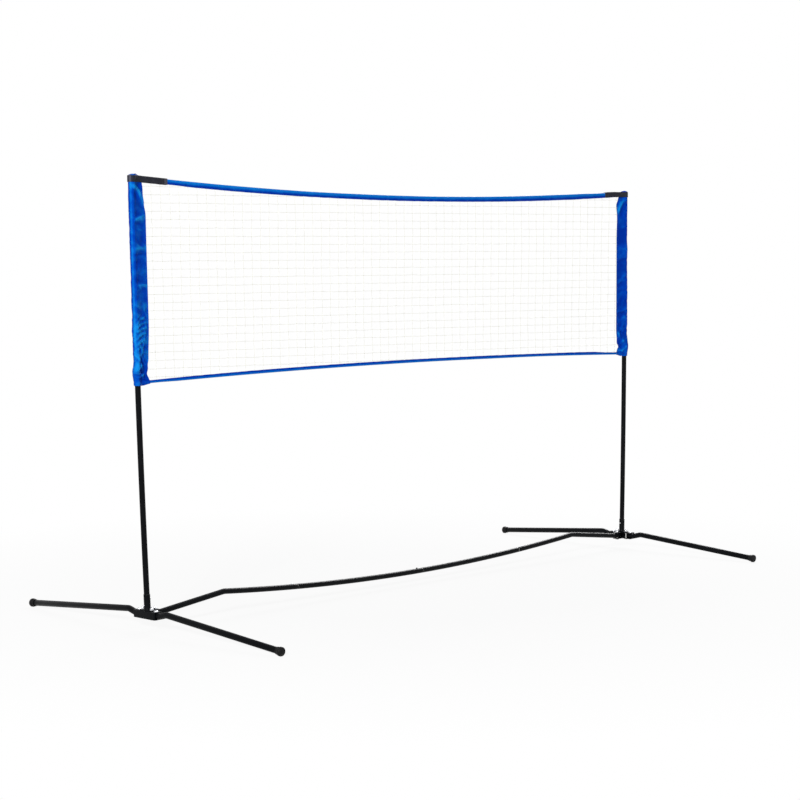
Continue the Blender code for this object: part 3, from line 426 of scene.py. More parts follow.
class Finish(Nodes):
    """A material whose nodes are being wired up."""

    def __init__(self, name):
        self.made = bpy.data.materials.new(name)
        self.made.use_nodes = True
        super().__init__(self.made.node_tree)
        self.shader = self.tree.nodes["Principled BSDF"]

    def surface(self, colour, rough, normal=None, **inputs):
        """The material, with its looks put on its shader."""
        inputs.update(Base_Color=colour, Roughness=rough)
        if normal:
            inputs["Normal"] = normal
        self.put(self.shader, {key.replace("_", " "): value for key, value in inputs.items()})
        return self.made

    def place(self):
        """Where a point is on the piece, in metres."""
        return self.node("TexCoord", output=3)

    def height(self):
        return self.node("SeparateXYZ", {0: self.place()}, output=2)

    def flat(self):
        """Where a point is on the piece's unrolled surface, in metres."""
        return self.node("UVMap", uv_map="Flat")

    def across_along(self):
        """The two coordinates of the unrolled surface."""
        return self.node("SeparateXYZ", {0: self.flat()}).node.outputs[:2]

    def painted_tone(self):
        """The painted light and shade of a point of a cloth, from 0 to 1: deep below the middle as painted
        shade, pale above it as painted highlight.
        """
        return self.node("SeparateXYZ", {0: self.node("UVMap", uv_map="PaintedTone")})

    def noise(self, scale, detail=2.0, stretch=None, vector=None, rough=0.5):
        vector = vector or self.place()
        if stretch:
            vector = self.node("Mapping", {"Vector": vector, "Scale": stretch})
        return self.node("TexNoise", {"Vector": vector, "Scale": scale, "Detail": detail, "Roughness": rough})

    def wave(self, value, pitch):
        """A sine of a coordinate, from -1 to 1."""
        return self.math("SINE", self.times(value, 2 * math.pi / pitch))

    def mix(self, share, a, b):
        """A blend of two colours."""
        a, b = ((*colour, 1.0) if isinstance(colour, tuple) else colour for colour in (a, b))
        return self.node("Mix", {0: share, 6: a, 7: b}, output=2, data_type="RGBA")

    def bump(self, height, distance, strength=1.0, normal=None):
        inputs = {"Height": height, "Distance": distance, "Strength": strength}
        if normal:
            inputs["Normal"] = normal
        return self.node("Bump", inputs)


def paint(name):
    """Black powder coat: faint orange peel, rubbed patches, fine scratches and dust on top."""
    f = Finish(name)
    patches = f.remap(f.noise(9.0, 4.0), 0.35, 0.7)
    colour = f.mix(patches, (0.0018, 0.0021, 0.0027), (0.0030, 0.0035, 0.0044))
    upward = f.node("SeparateXYZ", {0: f.node("NewGeometry", output=1)}, output=2)
    dust = f.times(f.remap(upward, 0.55, 1.0), f.remap(f.noise(140.0, 5.0), 0.42, 0.75))
    colour = f.mix(f.times(dust, 0.06), colour, (0.09, 0.09, 0.10))
    scratch = f.remap(f.noise(60.0, 2.0, (14.0, 1.0, 1.0), f.flat()), 0.66, 0.72)
    colour = f.mix(f.times(scratch, 0.25), colour, (0.03, 0.031, 0.034))
    rough = f.plus(f.remap(patches, 0.0, 1.0, 0.30, 0.40), f.times(dust, 0.25))
    peel = f.bump(f.noise(700.0, 1.0), 0.00012, 0.35)
    return f.surface(colour, rough, f.bump(f.noise(55.0, 3.0), 0.0006, 0.12, peel), Specular_IOR_Level=0.05)


def metal(name, base, shade, rough, brushed, greased=None):
    """Plated steel with smudges and fine turning marks, and dark grease between two heights."""
    f = Finish(name)
    smudge = f.remap(f.noise(180.0, 4.0), 0.35, 0.7)
    marks = f.noise(400.0, 2.0, (1.0, brushed, 1.0), f.flat())
    rough = f.plus(f.remap(smudge, 0.0, 1.0, rough, rough * 2.0), f.times(marks, 0.08))
    colour = f.mix(smudge, base, shade)
    if greased:
        low, high = greased
        height = f.height()
        grease = f.times(f.remap(height, low, low + 0.0008), f.remap(height, high, high - 0.0008))
        colour = f.mix(grease, colour, (0.015, 0.014, 0.013))
        rough = f.plus(rough, f.times(grease, 0.35))
    return f.surface(colour, rough, f.bump(marks, 0.00005, 0.3), Metallic=1.0)


def rubber(name):
    """Moulded black rubber, scuffed and dusty towards the ground."""
    f = Finish(name)
    scuff = f.remap(f.noise(110.0, 5.0), 0.48, 0.75)
    low = f.times(f.remap(f.height(), 0.010, 0.0), scuff)
    colour = f.mix(f.times(scuff, 0.35), (0.0028, 0.0028, 0.0032), (0.012, 0.012, 0.013))
    colour = f.mix(f.times(low, 0.6), colour, (0.09, 0.085, 0.08))
    rough = f.remap(scuff, 0.0, 1.0, 0.50, 0.75)
    return f.surface(colour, rough, f.bump(f.noise(1500.0, 2.0), 0.0002, 0.4), Specular_IOR_Level=0.12)


def plastic(name):
    """Moulded black plastic with a fine spark-eroded grain."""
    f = Finish(name)
    grain = f.noise(1100.0, 3.0)
    colour = f.mix(f.remap(f.noise(60.0, 3.0), 0.4, 0.7), (0.006, 0.006, 0.007), (0.013, 0.013, 0.015))
    rough = f.remap(grain, 0.3, 0.7, 0.38, 0.52)
    return f.surface(colour, rough, f.bump(grain, 0.0002, 0.3), Specular_IOR_Level=0.35)


def fabric(name, base, deep, light):
    """Coated woven nylon: plain weave with painted shade between its threads, soft gloss, a painted highlight
    on its ridges and painted shade in its creases.
    """
    f = Finish(name)
    warp, weft = (f.wave(value, 2 * WEAVE_PITCH) for value in f.across_along())
    over = f.times(warp, weft)
    ribs = f.math("MAXIMUM", f.math("ABSOLUTE", warp), f.math("ABSOLUTE", weft))
    slub = f.noise(90.0, 2.0, (9.0, 1.0, 1.0), f.flat())
    threads = f.plus(f.plus(f.times(over, 0.3), f.times(ribs, 0.5)), f.times(slub, 0.35))
    # Thread tops are painted paler and the gaps between threads deeper, as painted light and shade, with
    # random slubs.
    colour = f.mix(f.remap(threads, 0.1, 1.0), deep, base)
    fade = f.remap(f.noise(26.0, 4.0, rough=0.6), 0.42, 0.75)
    colour = f.mix(f.times(fade, 0.30), colour, light)
    # Painted light and shade: deep colour as painted shade in creases, pale colour as painted highlight on
    # ridges.
    painted_tone = f.painted_tone()
    colour = f.mix(f.remap(painted_tone, 0.45, 0.10, 0.0, 0.80), colour, deep)
    colour = f.mix(f.remap(painted_tone, 0.55, 1.0, 0.0, 0.90), colour, light)
    creases = f.noise(95.0, 4.0, (1.0, 1.0, 0.7), rough=0.55)
    rough = f.remap(creases, 0.3, 0.7, 0.40, 0.52)
    normal = f.bump(creases, 0.0030, 0.5, f.bump(threads, 0.00022, 0.6))
    return f.surface(colour, rough, normal, Specular_IOR_Level=0.03, Specular_Tint=(0.03, 0.5, 1.0, 1.0))


def webbing(name):
    """Black webbing: ribs along it, crossed by a fine weft, with a fuzzy surface; rib tops painted paler as
    painted light, and paler still as a painted highlight where its painted tone is high.
    """
    f = Finish(name)
    across, along = f.across_along()
    rib = f.math("ABSOLUTE", f.wave(across, 0.0036))
    slant = f.wave(f.plus(along, f.times(rib, 0.0007)), 0.0015)
    height = f.plus(f.times(rib, 0.6), f.times(slant, 0.35))
    fuzz = f.noise(420.0, 3.0)
    lint = f.remap(f.noise(70.0, 5.0), 0.5, 0.8)
    # Rib tops are painted paler and the hollows between them darker, as painted light and shade.
    colour = f.mix(f.remap(height, 0.0, 0.8), (0.009, 0.0095, 0.014), (0.022, 0.0232, 0.033))
    colour = f.mix(f.times(lint, 0.25), colour, (0.060, 0.060, 0.080))
    # Painted highlight where the band's painted tone is high.
    colour = f.mix(f.remap(f.painted_tone(), 0.55, 1.0, 0.0, 0.90), colour, (0.085, 0.085, 0.11))
    normal = f.bump(fuzz, 0.0003, 0.3, f.bump(height, 0.0005, 0.8))
    return f.surface(colour, f.remap(fuzz, 0.3, 0.7, 0.55, 0.75), normal, Specular_IOR_Level=0.10)


def cordage(name, base, deep, pitch, plies):
    """Twisted or braided cord, with a dark line between its plies as painted shade."""
    f = Finish(name)
    across, along = f.across_along()
    lay = f.plus(f.times(along, 1.0 / pitch), f.times(across, plies))
    ply = f.math("ABSOLUTE", f.math("SINE", f.times(lay, math.pi)))
    fibres = f.noise(2500.0, 2.0)
    # Painted shade: deep colour in the grooves between the plies.
    colour = f.mix(f.remap(ply, 0.05, 0.5), deep, base)
    colour = f.mix(f.remap(f.noise(30.0, 3.0), 0.45, 0.75, 0.0, 0.35), colour, deep)
    normal = f.bump(f.plus(ply, f.times(fibres, 0.3)), 0.0003, 0.7)
    return f.surface(colour, f.remap(fibres, 0.3, 0.7, 0.6, 0.8), normal, Specular_IOR_Level=0.3)


# Shapes

def unit(value):
    """A number held between 0 and 1."""
    return min(max(value, 0.0), 1.0)


def smooth(share):
    """A share that starts and ends gently."""
    return share * share * (3 - 2 * share)


def bell(value, middle, width, power=2):
    """1 at the middle, fading out past the width on both sides."""
    return math.exp(-((value - middle) / width) ** power)


def arc(first, last, steps, degrees=90):
    """Sine and cosine at each step from the first to before the last, where all steps make up an arc."""
    angles = [math.radians(degrees * step / steps) for step in range(first, last)]
    return [(math.sin(angle), math.cos(angle)) for angle in angles]


def spread(start, end, spans):
    return [start + (end - start) * i / spans for i in range(spans + 1)]


def heading(line, index):
    """Which way a line of points goes at one of them."""
    return (line[min(index + 1, len(line) - 1)] - line[max(index - 1, 0)]).normalized()


def hexagon(spot, up, side, radius):
    """Six points round a spot."""
    return [spot + (up * math.cos(a) + side * math.sin(a)) * radius for a in HEX_ANGLES]


class Path:
    """A line of points that can be read at any distance along it."""

    def __init__(self, spots):
        self.spots = [Vector(s) for s in spots]
        self.marks = [0.0]
        for a, b in zip(self.spots, self.spots[1:]):
            self.marks.append(self.marks[-1] + (b - a).length)
        self.length = self.marks[-1]

    def heading(self, index):
        index = min(max(index, 0), len(self.spots) - 2)
        return (self.spots[index + 1] - self.spots[index]).normalized()

    def at(self, distance):
        """The point and the direction of travel at a distance, carried on straight past the ends."""
        index = 0
        while index < len(self.spots) - 2 and distance > self.marks[index + 1]:
            index += 1
        ahead = self.heading(index)
        spot = self.spots[index] + ahead * (distance - self.marks[index])
        span = self.marks[index + 1] - self.marks[index]
        share = unit((distance - self.marks[index]) / span)
        side = self.heading(index - 1) if share < 0.5 else self.heading(index + 1)
        turn = ahead.lerp(side, abs(share - 0.5)).normalized()
        return spot, turn

    def near(self, x):
        """Distance along the path to the place with this x."""
        for mark, a, b in zip(self.marks, self.spots, self.spots[1:]):
            if min(a.x, b.x) <= x <= max(a.x, b.x):
                return mark + (b - a).length * (x - a.x) / (b.x - a.x)
        return 0.0


def skin(rings, closed=True, loop=False, marks=None):
    """A surface through rings of points: points, faces, flat places of the corners and finishes of the faces.

    A ring of one point is a pole. marks gives a finish for each band between rings.
    """
    points, starts, faces, flats, finishes = [], [], [], [], []
    for ring in rings:
        starts.append(len(points))
        points += [Vector(p) for p in ring]
    widest = [Vector(p) for p in max(rings, key=len)]
    across = [0.0]
    for a, b in zip(widest, widest[1:] + widest[:closed]):
        across.append(across[-1] + (b - a).length)
    along = [0.0]
    for a, b in zip(rings, rings[1:]):
        along.append(along[-1] + (Vector(b[0]) - Vector(a[0])).length)
    bands = [(low, low + 1) for low in range(len(rings) - 1)] + [(len(rings) - 1, 0)] * loop
    for band, (low, high) in enumerate(bands):
        count = max(len(rings[low]), len(rings[high]))
        top = along[high] if high else along[low] + 0.001
        for i in range(count if closed else count - 1):
            after = (i + 1) % count
            face = [starts[low] + i, starts[low] + after, starts[high] + after, starts[high] + i]
            flat = [
                (across[i], along[low]), (across[i + 1], along[low]), (across[i + 1], top), (across[i], top),
            ]
            if len(rings[low]) == 1:
                face[:2], flat[:2] = [starts[low]], flat[:1]
            elif len(rings[high]) == 1:
                face[2:], flat[2:] = [starts[high]], flat[3:]
            faces.append(face)
            flats.append(flat)
            finishes.append(marks[band] if marks else 0)
    return points, faces, flats, finishes


def turned(path, stations, sides=40, across=(0, 1, 0), loop=False, marks=None):
    """A round surface along a path, from (distance, radius) stations.

    A radius may be a function of the angle that gives (radius, shift along the path).
    """
    across = Vector(across)
    rings = []
    for distance, radius in stations:
        spot, ahead = path.at(distance)
        up = across.cross(ahead).normalized()
        side = ahead.cross(up)
        if radius == 0.0:
            rings.append([spot])
            continue
        ring = []
        for i in range(sides):
            angle = 2 * math.pi * i / sides
            reach, shift = radius(angle) if callable(radius) else (radius, 0.0)
            ring.append(spot + (up * math.cos(angle) + side * math.sin(angle)) * reach + ahead * shift)
        rings.append(ring)
    return skin(rings, loop=loop, marks=marks)


def upright(x, y, z):
    return Path([(x, y, z), (x, y, z + 1.0)])


def join(shells):
    """Several shells as one."""
    points, faces, flats, finishes = [], [], [], []
    for shell in shells:
        first = len(points)
        points += list(shell[0])
        faces += [tuple(first + i for i in face) for face in shell[1]]
        flats += list(shell[2])
        finishes += list(shell[3])
    return points, faces, flats, finishes


def build(name, shell, surfaces, sharp=38.0, folds=None):
    """An object from one shell, with outward faces and its unrolled map, and each point's painted light and
    shade tone, 0 to 1.
    """
    points, faces, flats, finishes = shell
    mesh = bpy.data.meshes.new(name)
    mesh.from_pydata([tuple(p) for p in points], [], faces)
    layer = mesh.uv_layers.new(name="Flat")
    layer.data.foreach_set("uv", [value for face in flats for corner in face for value in corner])
    mesh.polygons.foreach_set("material_index", finishes)
    if folds:
        layer = mesh.uv_layers.new(name="PaintedTone")
        layer.data.foreach_set(
            "uv", [value for face in faces for index in face for value in (folds[index], 0.5)],
        )
    work = bmesh.new()
    work.from_mesh(mesh)
    bmesh.ops.recalc_face_normals(work, faces=work.faces)
    work.to_mesh(mesh)
    work.free()
    for surface in surfaces:
        mesh.materials.append(surface)
    mesh.shade_smooth()
    mesh.set_sharp_from_angle(angle=math.radians(sharp))
    made = bpy.data.objects.new(name, mesh)
    bpy.context.scene.collection.objects.link(made)
    return made


def apply(obj, sharp=38.0):
    """Keep what an object's modifiers make of it."""
    bpy.context.view_layer.update()
    graph = bpy.context.evaluated_depsgraph_get()
    shaped = bpy.data.meshes.new_from_object(obj.evaluated_get(graph))
    obj.modifiers.clear()
    obj.data = shaped
    shaped.shade_smooth()
    shaped.set_sharp_from_angle(angle=math.radians(sharp))
    return obj


def combine(target, tool, operation="DIFFERENCE"):
    """Cut a tool from an object or join it on."""
    change = target.modifiers.new(operation, "BOOLEAN")
    change.operation = operation
    change.solver = "EXACT"
    change.object = tool
    apply(target)
    bpy.data.objects.remove(tool, do_unlink=True)


def soften(obj, width, segments=2, angle=40.0):
    """Round an object's sharp edges."""
    change = obj.modifiers.new("soften", "BEVEL")
    change.width = width
    change.segments = segments
    change.limit_method = "ANGLE"
    change.angle_limit = math.radians(angle)
    change.harden_normals = False
    change.miter_outer = "MITER_ARC"
    apply(obj, sharp=55.0)


def finish_piece(obj, matrix, body, stands_for):
    """Put a piece in its place, on its body, in place of its CAD nodes."""
    obj.data.transform(matrix)
    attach(obj, body)
    if stands_for:
        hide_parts(*stands_for)
    return obj


def painted(obj, name, matrix, body, stands_for):
    """A black steel piece, named and put in its place."""
    obj.name = name
    finish_piece(obj, matrix, body, [stands_for])


def bolt_hole(obj, x, y, low, high):
    """A hole for a bolt or a rivet, from one height to another."""
    combine(obj, drill(BOLT_OD / 2 + FIT, (x, y, low), (x, y, high)))


def piece(name, shell, surfaces, matrix, body, stands_for, slot, **looks):
    """An object made from one shell and put in its place."""
    return finish_piece(build(name, shell, surfaces, **looks), matrix, body, stands_for)


def drill(radius, start, end):
    """A round cutter between two points."""
    path = Path([start, end])
    stations = [(0.0, 0.0), (0.0, radius), (path.length, radius), (path.length, 0.0)]
    return build("cutter", turned(path, stations, sides=32, across=(0.1, 0.98, 0.17)), [])


def hollow(path, outer, inner, lip=0.00035, across=(0, 1, 0), sides=40):
    """An open tube with rounded rims. outer and inner are (distance, radius) breaks."""
    (start, first), (end, last) = outer[0], outer[-1]
    breaks = path.marks + [distance for distance, _ in outer + inner]
    marks = sorted({round(mark, 6) for mark in breaks if start + lip < mark < end - lip})
    stations = [(start, first - lip), (start + 0.3 * lip, first - 0.3 * lip), (start + lip, first)]
    stations += [(mark, float(np.interp(mark, *zip(*outer)))) for mark in marks]
    stations += [
        (end - lip, last), (end - 0.3 * lip, last - 0.3 * lip), (end, last - lip), (end, inner[-1][1]),
    ]
    count = len(stations)
    stations += [(mark, float(np.interp(mark, *zip(*inner)))) for mark in reversed(marks)]
    stations.append((start, inner[0][1]))
    finishes = [0] * len(stations)
    for band in (0, 1, count - 4, count - 3, count - 2, -1):
        finishes[band] = 1
    return turned(path, stations, sides=sides, across=across, loop=True, marks=finishes)


def tube(path, radius, wall, **rest):
    """An even tube along a whole path."""
    ends = [(0.0, radius), (path.length, radius)]
    return hollow(path, ends, [(distance, radius - wall) for distance, _ in ends], **rest)


def bent(corners, radius, steps=9):
    """A flat path through corners, with each inner corner rounded."""
    path = [Vector(corners[0])]
    for before, here, after in zip(corners, corners[1:], corners[2:]):
        here = Vector(here)
        back = (Vector(before) - here).normalized()
        onward = (Vector(after) - here).normalized()
        half_turn = (math.pi - back.angle(onward)) / 2
        reach = radius * math.tan(half_turn)
        centre = here + (back + onward).normalized() * radius / math.cos(half_turn)
        start = here + back * reach - centre
        end = here + onward * reach - centre
        for step in range(steps + 1):
            path.append(centre + start.slerp(end, step / steps).normalized() * radius)
    path.append(Vector(corners[-1]))
    return path


def post_axis_x(z):
    share = (z - SEAT_Z) / (POST_TOP - SEAT_Z)
    return POST_PULL * share ** 2 - POST_LEAN * share


def post_point(z):
    return Vector((post_axis_x(z), 0.0, z))


def fin_edge_x(z):
    to_top = unit((SLEEVE_TOP_Z - TAPE_HEIGHT - z) / FIN_TOP_SLOPE)
    to_hem = min((z - SLEEVE_BOTTOM_Z) / FIN_HEM_SPAN, 1.0)
    reach = FIN_REACH - (FIN_REACH - FIN_TOP_REACH) * (1 - to_top)
    reach += (FIN_HEM_REACH - FIN_REACH) * (1 - to_hem)
    return post_axis_x(z) + reach


def bar_height(x):
    return BAR_KINK_Z - BAR_SAG * (1 - (x / BAR_KINK_SPAN) ** 2)


def tape_top(x):
    return POST_TOP - TAPE_DROP - SAG * (1 - (x / POST_X) ** 2)


def hem_bottom(x):
    return SLEEVE_BOTTOM_Z + HEM_RISE + HEM_BOW * (1 - (x / POST_X) ** 2)


# Fasteners

def hexed(flats, chamfer=0.0):
    """A hexagonal station whose corners are chamfered up or down by a share of their reach."""
    apothem = flats / 2

    def station(angle):
        off = math.pi / 6 - abs((angle + math.pi / 6) % (math.pi / 3) - math.pi / 6)
        reach = apothem / math.cos(off)
        return reach, -chamfer * (reach - apothem)
    return station


def bolt(name, x, y, tip, side):
    """A hex bolt that comes up through the bracket from below."""
    top = PLATE_BOTTOM_Z - FIT
    low = top - BOLT_HEAD_HEIGHT
    shank = BOLT_OD / 2
    stations = [
        (low, 0.0), (low, 0.0046), (low + 0.0002, 0.0054), (low + 0.0003, hexed(BOLT_HEAD - 0.0004, -0.55)),
        (low + 0.0005, hexed(BOLT_HEAD, -0.55)), (top - 0.0003, hexed(BOLT_HEAD)),
        (top, hexed(BOLT_HEAD - 0.0006)), (top, shank), (tip - 0.0008, shank), (tip, shank - 0.0008),
        (tip, 0.0),
    ]
    shell = turned(upright(x, y, 0.0), stations, sides=48)
    piece(f"hex_{name}", shell, [STEEL], BASES[side], "stand", [name], "zinc_steel", sharp=30)


def domed_nut(name, x, y, seat, side):
    """A closed nut: chamfered hexagon below, polished dome above."""
    low = seat + FIT
    top = low + NUT_HEX_HEIGHT
    bore = BOLT_OD / 2 + FIT
    dome = NUT_FLATS / 2 - 0.0005
    rise = NUT_HEIGHT - NUT_HEX_HEIGHT - 0.0004
    stations = [
        (low + NUT_BORE_DEPTH, 0.0), (low + NUT_BORE_DEPTH, bore), (low, bore), (low, 0.0058),
        (low + 0.0002, hexed(NUT_FLATS - 0.0004, -0.5)), (low + 0.0004, hexed(NUT_FLATS, -0.5)),
        (top - 0.0003, hexed(NUT_FLATS, 0.55)), (top, hexed(NUT_FLATS - 0.0005, 0.55)),
    ]
    stations += [(top + 0.0004 + rise * s, dome * c) for s, c in arc(0, 9, 9)] + [(low + NUT_HEIGHT, 0.0)]
    shell = turned(upright(x, y, 0.0), stations, sides=48)
    piece(f"domed_{name}", shell, [CHROME], BASES[side], "stand", [name], "bright_nut", sharp=30)


def pivot_rivet(name, x, y, side):
    """The headed rivet that a leg swings on."""
    shank = BOLT_OD / 2
    top = PLATE_TOP_Z + FIT
    bottom = PLATE_BOTTOM_Z - FIT
    low = bottom - RIVET_TAIL_HEIGHT
    tail = RIVET_TAIL_OD / 2
    head = RIVET_HEAD_OD / 2
    stations = [
        (low + 0.0006, 0.0), (low + 0.0005, 0.0018), (low, 0.0028), (low, tail - 0.0009),
        (low + 0.0007, tail), (bottom - 0.0003, tail), (bottom, tail - 0.0003), (bottom, shank), (top, shank),
        (top, head - 0.0003),
    ]
    stations += [(top + 0.0003 + (RIVET_HEAD_HEIGHT - 0.0003) * s, head * c) for s, c in arc(0, 10, 10)]
    stations.append((top + RIVET_HEAD_HEIGHT, 0.0))
    shell = turned(upright(x, y, 0.0), stations)
    piece(f"headed_{name}", shell, [CHROME], BASES[side], "stand", [name], "bright_nut", sharp=50)


# Bases

def slab(outline, low, high):
    """A flat plate as a shell."""
    count = len(outline)
    points = [Vector((x, y, z)) for z in (low, high) for x, y in outline]
    faces = [(i, (i + 1) % count, count + (i + 1) % count, count + i) for i in range(count)]
    step = 0.002
    flats = [
        ((i * step, 0.0), ((i + 1) * step, 0.0), ((i + 1) * step, step), (i * step, step))
        for i in range(count)
    ]
    for face in (tuple(range(count)), tuple(range(count, 2 * count))):
        faces.append(face)
        flats.append(tuple((points[i].x, points[i].y) for i in face))
    return points, faces, flats, [0] * len(faces)


def rectangle(low_x, high_x, half):
    return [(low_x, -half), (high_x, -half), (high_x, half), (low_x, half)]


def rounded(corners, radii, steps=7):
    """An outline of (x, y) whose corners are rounded, each to its own radius."""
    outline = []
    for index, (corner, radius) in enumerate(zip(corners, radii)):
        here = Vector(corner)
        if radius == 0.0:
            outline.append((here.x, here.y))
            continue
        to_last = (Vector(corners[index - 1]) - here).normalized()
        to_next = (Vector(corners[(index + 1) % len(corners)]) - here).normalized()
        centre = here + (to_last + to_next) * radius
        for s, c in arc(0, steps + 1, steps):
            spot = centre - to_next * radius * c - to_last * radius * s
            outline.append((spot.x, spot.y))
    return outline


def bracket(side):
    """A pressed channel with rounded bends, a tongue for the ground bar and a lip for each leg."""
    half = BRACKET_LENGTH / 2
    low = PLATE_BOTTOM_Z
    high = PLATE_TOP_Z
    outline = rounded(rectangle(WEB_OUTER_X, BRACKET_REACH, half), (CORNER_ROUND,) * 4)
    body = build("bracket", slab(outline, low, high), [PAINT])
    width = TONGUE_WIDTH / 2
    outline = rounded(rectangle(0.0, TONGUE_REACH, width), (0.0, CORNER_ROUND, CORNER_ROUND, 0.0))
    combine(body, build("tongue", slab(outline, low, high), [PAINT]), "UNION")
    neck = TONGUE_FILLET
    for sign in (-1, 1):
        x, y = BRACKET_REACH - 0.001, sign * (width - 0.001)
        outline = [(x, y), (BRACKET_REACH + neck, y), (BRACKET_REACH + neck, sign * width)]
        outline += [
            (BRACKET_REACH + neck * (1 - s), sign * (width + neck * (1 - c)))
            for s, c in arc(1, 8, 8)
        ]
        outline += [(BRACKET_REACH, sign * (width + neck)), (x, sign * (width + neck))]
        combine(body, build("fillet", slab(outline, low, high), [PAINT]), "UNION")
    lip = -(LEG_OD / 2 + FIT)
    inside = half - PLATE_WALL
    beyond = half + PLATE_WALL
    far = TONGUE_REACH + FIT + PLATE_WALL
    outline = [(WEB_INNER_X, inside), (lip, inside), (lip, beyond), (far, beyond)]
    outline = [(x, -y) for x, y in outline] + outline[::-1]
    gap = slab(outline, BRACKET_Z - PLATE_GAP_HALF, BRACKET_Z + PLATE_GAP_HALF)
    combine(body, build("hollow", gap, [PAINT]))
    places = [(BAR_BOLT_X, 0.0)] + [(0.0, sign * y) for sign in (-1, 1) for y in (SOCKET_BOLT_Y, LEG_PIVOT_Y)]
    for x, y in places:
        bolt_hole(body, x, y, low - PLATE_WALL, high + PLATE_WALL)
    bend = bmesh.new()
    bend.from_mesh(body.data)
    rim = []
    for edge in bend.edges:
        a, b = (vertex.co for vertex in edge.verts)
        level = abs(a.z - b.z) < 1e-6 and (abs(a.z - low) < 1e-6 or abs(a.z - high) < 1e-6)
        if level and max(a.x, b.x) < WEB_OUTER_X + 1e-5:
            rim.append(edge)
    bmesh.ops.bevel(bend, geom=rim, offset=0.0019, segments=5, profile=0.5, affect="EDGES")
    bend.to_mesh(body.data)
    bend.free()
    soften(body, 0.00035)
    painted(body, f"bracket_{side}", BASES[side], "stand", f"base_bracket_{side}")


def socket(side):
    """A short leaning tube welded to a bolted flange, which holds the foot of a post."""
    low = PLATE_TOP_Z + FIT
    outline = rounded(rectangle(-FLANGE_WIDTH / 2, FLANGE_WIDTH / 2, FLANGE_LENGTH / 2), (CORNER_ROUND,) * 4)
    body = build("flange", slab(outline, low, FLANGE_TOP_Z), [PAINT, STEEL])
    for sign in (-1, 1):
        bolt_hole(body, 0, sign * SOCKET_BOLT_Y, low - PLATE_WALL, FLANGE_TOP_Z + PLATE_WALL)
    soften(body, 0.0003)
    weld = FLANGE_WALL / 2
    foot = post_point(FLANGE_TOP_Z - weld)
    line = Path([foot, post_point(MOUTH_Z)])
    end = line.length
    outer = SOCKET_OD / 2
    bore = outer - SOCKET_WALL
    stations = [
        (0.0, bore), (0.0, outer + 0.0006), (weld, outer + 0.0017), (weld + 0.0006, outer + 0.0011),
        (weld + 0.0011, outer + 0.0006), (weld + 0.0016, outer + 0.00025), (weld + 0.0022, outer),
        (0.3 * end, outer), (0.6 * end, outer), (0.9 * end, outer),
        (end - 0.0006, outer), (end - 0.0002, outer - 0.0002), (end, outer - 0.0005), (end, bore),
    ]
    marks = [0] * len(stations)
    marks[-2] = 1
    stub = build("stub", turned(line, stations, sides=48, loop=True, marks=marks), [PAINT, STEEL])
    for vertex in stub.data.vertices:
        if vertex.co.z - FLANGE_TOP_Z < WELD_HEIGHT:
            angle = math.atan2(vertex.co.y, vertex.co.x - foot.x)
            push = WELD_RIPPLE * math.sin(26 * angle)
            vertex.co.x += push * math.cos(angle)
            vertex.co.y += push * math.sin(angle)
    combine(stub, post_button_drill())
    merged = bmesh.new()
    merged.from_mesh(body.data)
    merged.from_mesh(stub.data)
    merged.to_mesh(body.data)
    merged.free()
    bpy.data.objects.remove(stub, do_unlink=True)
    body.data.set_sharp_from_angle(angle=math.radians(45))
    painted(body, f"socket_{side}", BASES[side], "stand", f"post_socket_{side}")


def leg(side, end, sign):
    """A kinked tube that swings on its rivet."""
    corners = [
        (0.0, -LEG_TAIL, BRACKET_Z),
        (0.0, LEG_STRAIGHT, BRACKET_Z),
        (0.0, LEG_KINK_Y - LEG_PIVOT_Y, BRACKET_Z + LEG_KINK_RISE),
        (0.0, LEG_REACH - LEG_PIVOT_Y, FOOT_Z),
    ]
    path = Path([Vector((p.x, sign * (p.y + LEG_PIVOT_Y), p.z)) for p in bent(corners, LEG_BEND_RADIUS)])
    body = build("leg", tube(path, LEG_OD / 2, LEG_WALL, across=(1, 0, 0), sides=44), [PAINT, STEEL])
    bolt_hole(body, 0, sign * LEG_PIVOT_Y, BRACKET_Z - LEG_OD, BRACKET_Z + LEG_OD)
    carrier = f"leg_{side}_{end}"
    painted(body, f"leg_tube_{side}_{end}", BASES[side], carrier, carrier)
    foot_cap(side, end, path, carrier)


def foot_cap(side, end, path, carrier):
    """A rubber boot: ribbed neck, fat rounded head, sole worn flat on the ground."""
    bore = LEG_OD / 2 + FIT
    neck = bore + FOOT_NECK_WALL
    head = FOOT_HEAD_OD / 2
    low = -FOOT_NECK_LENGTH
    high = FOOT_FLOOR
    crown = high - FOOT_HEAD_LENGTH
    stations = [
        (FIT, 0.0), (FIT, bore), (low, bore), (low, neck - 0.0007), (low + 0.0002, neck - 0.0002),
        (low + 0.0008, neck), (low + 0.0020, neck), (low + 0.0027, neck - 0.0005),
        (low + 0.0040, neck - 0.0006), (crown - 0.0030, neck - 0.0004), (crown - 0.0014, neck + 0.0001),
        (crown - 0.0004, neck + 0.0009),
    ]
    stations += [(crown + 0.0034 * (1 - c), head - 0.0034 * (1 - s) * 0.55) for s, c in arc(1, 7, 6)]
    stations += [(high - 0.0042 * (1 - s), head - 0.0042 * (1 - c)) for s, c in arc(0, 7, 6)]
    stations += [
        (high, head - 0.0056), (high - 0.0003, head - 0.0062), (high - 0.0003, head - 0.0100),
        (high + 0.0001, head - 0.0108), (high + 0.0002, 0.0),
    ]
    line = Path([path.spots[-1], path.spots[-1] + path.heading(len(path.spots))])
    points, *rest = turned(line, stations, sides=56, across=(1, 0, 0))
    shell = ([Vector((p.x, p.y, max(p.z, 0.0))) for p in points], *rest)
    cap = f"foot_cap_{side}_{end}"
    piece(f"boot_{side}_{end}", shell, [RUBBER], BASES[side], carrier, [cap], "black_rubber", sharp=60)


# Posts

def post_button_drill():
    """A cutter for the hole of the button that locks a post in its socket."""
    middle = post_point(MOUTH_Z - POST_BUTTON_INSET)
    return drill(BUTTON_OD / 2 + FIT, middle, middle + Vector((SOCKET_OD, 0, 0)))


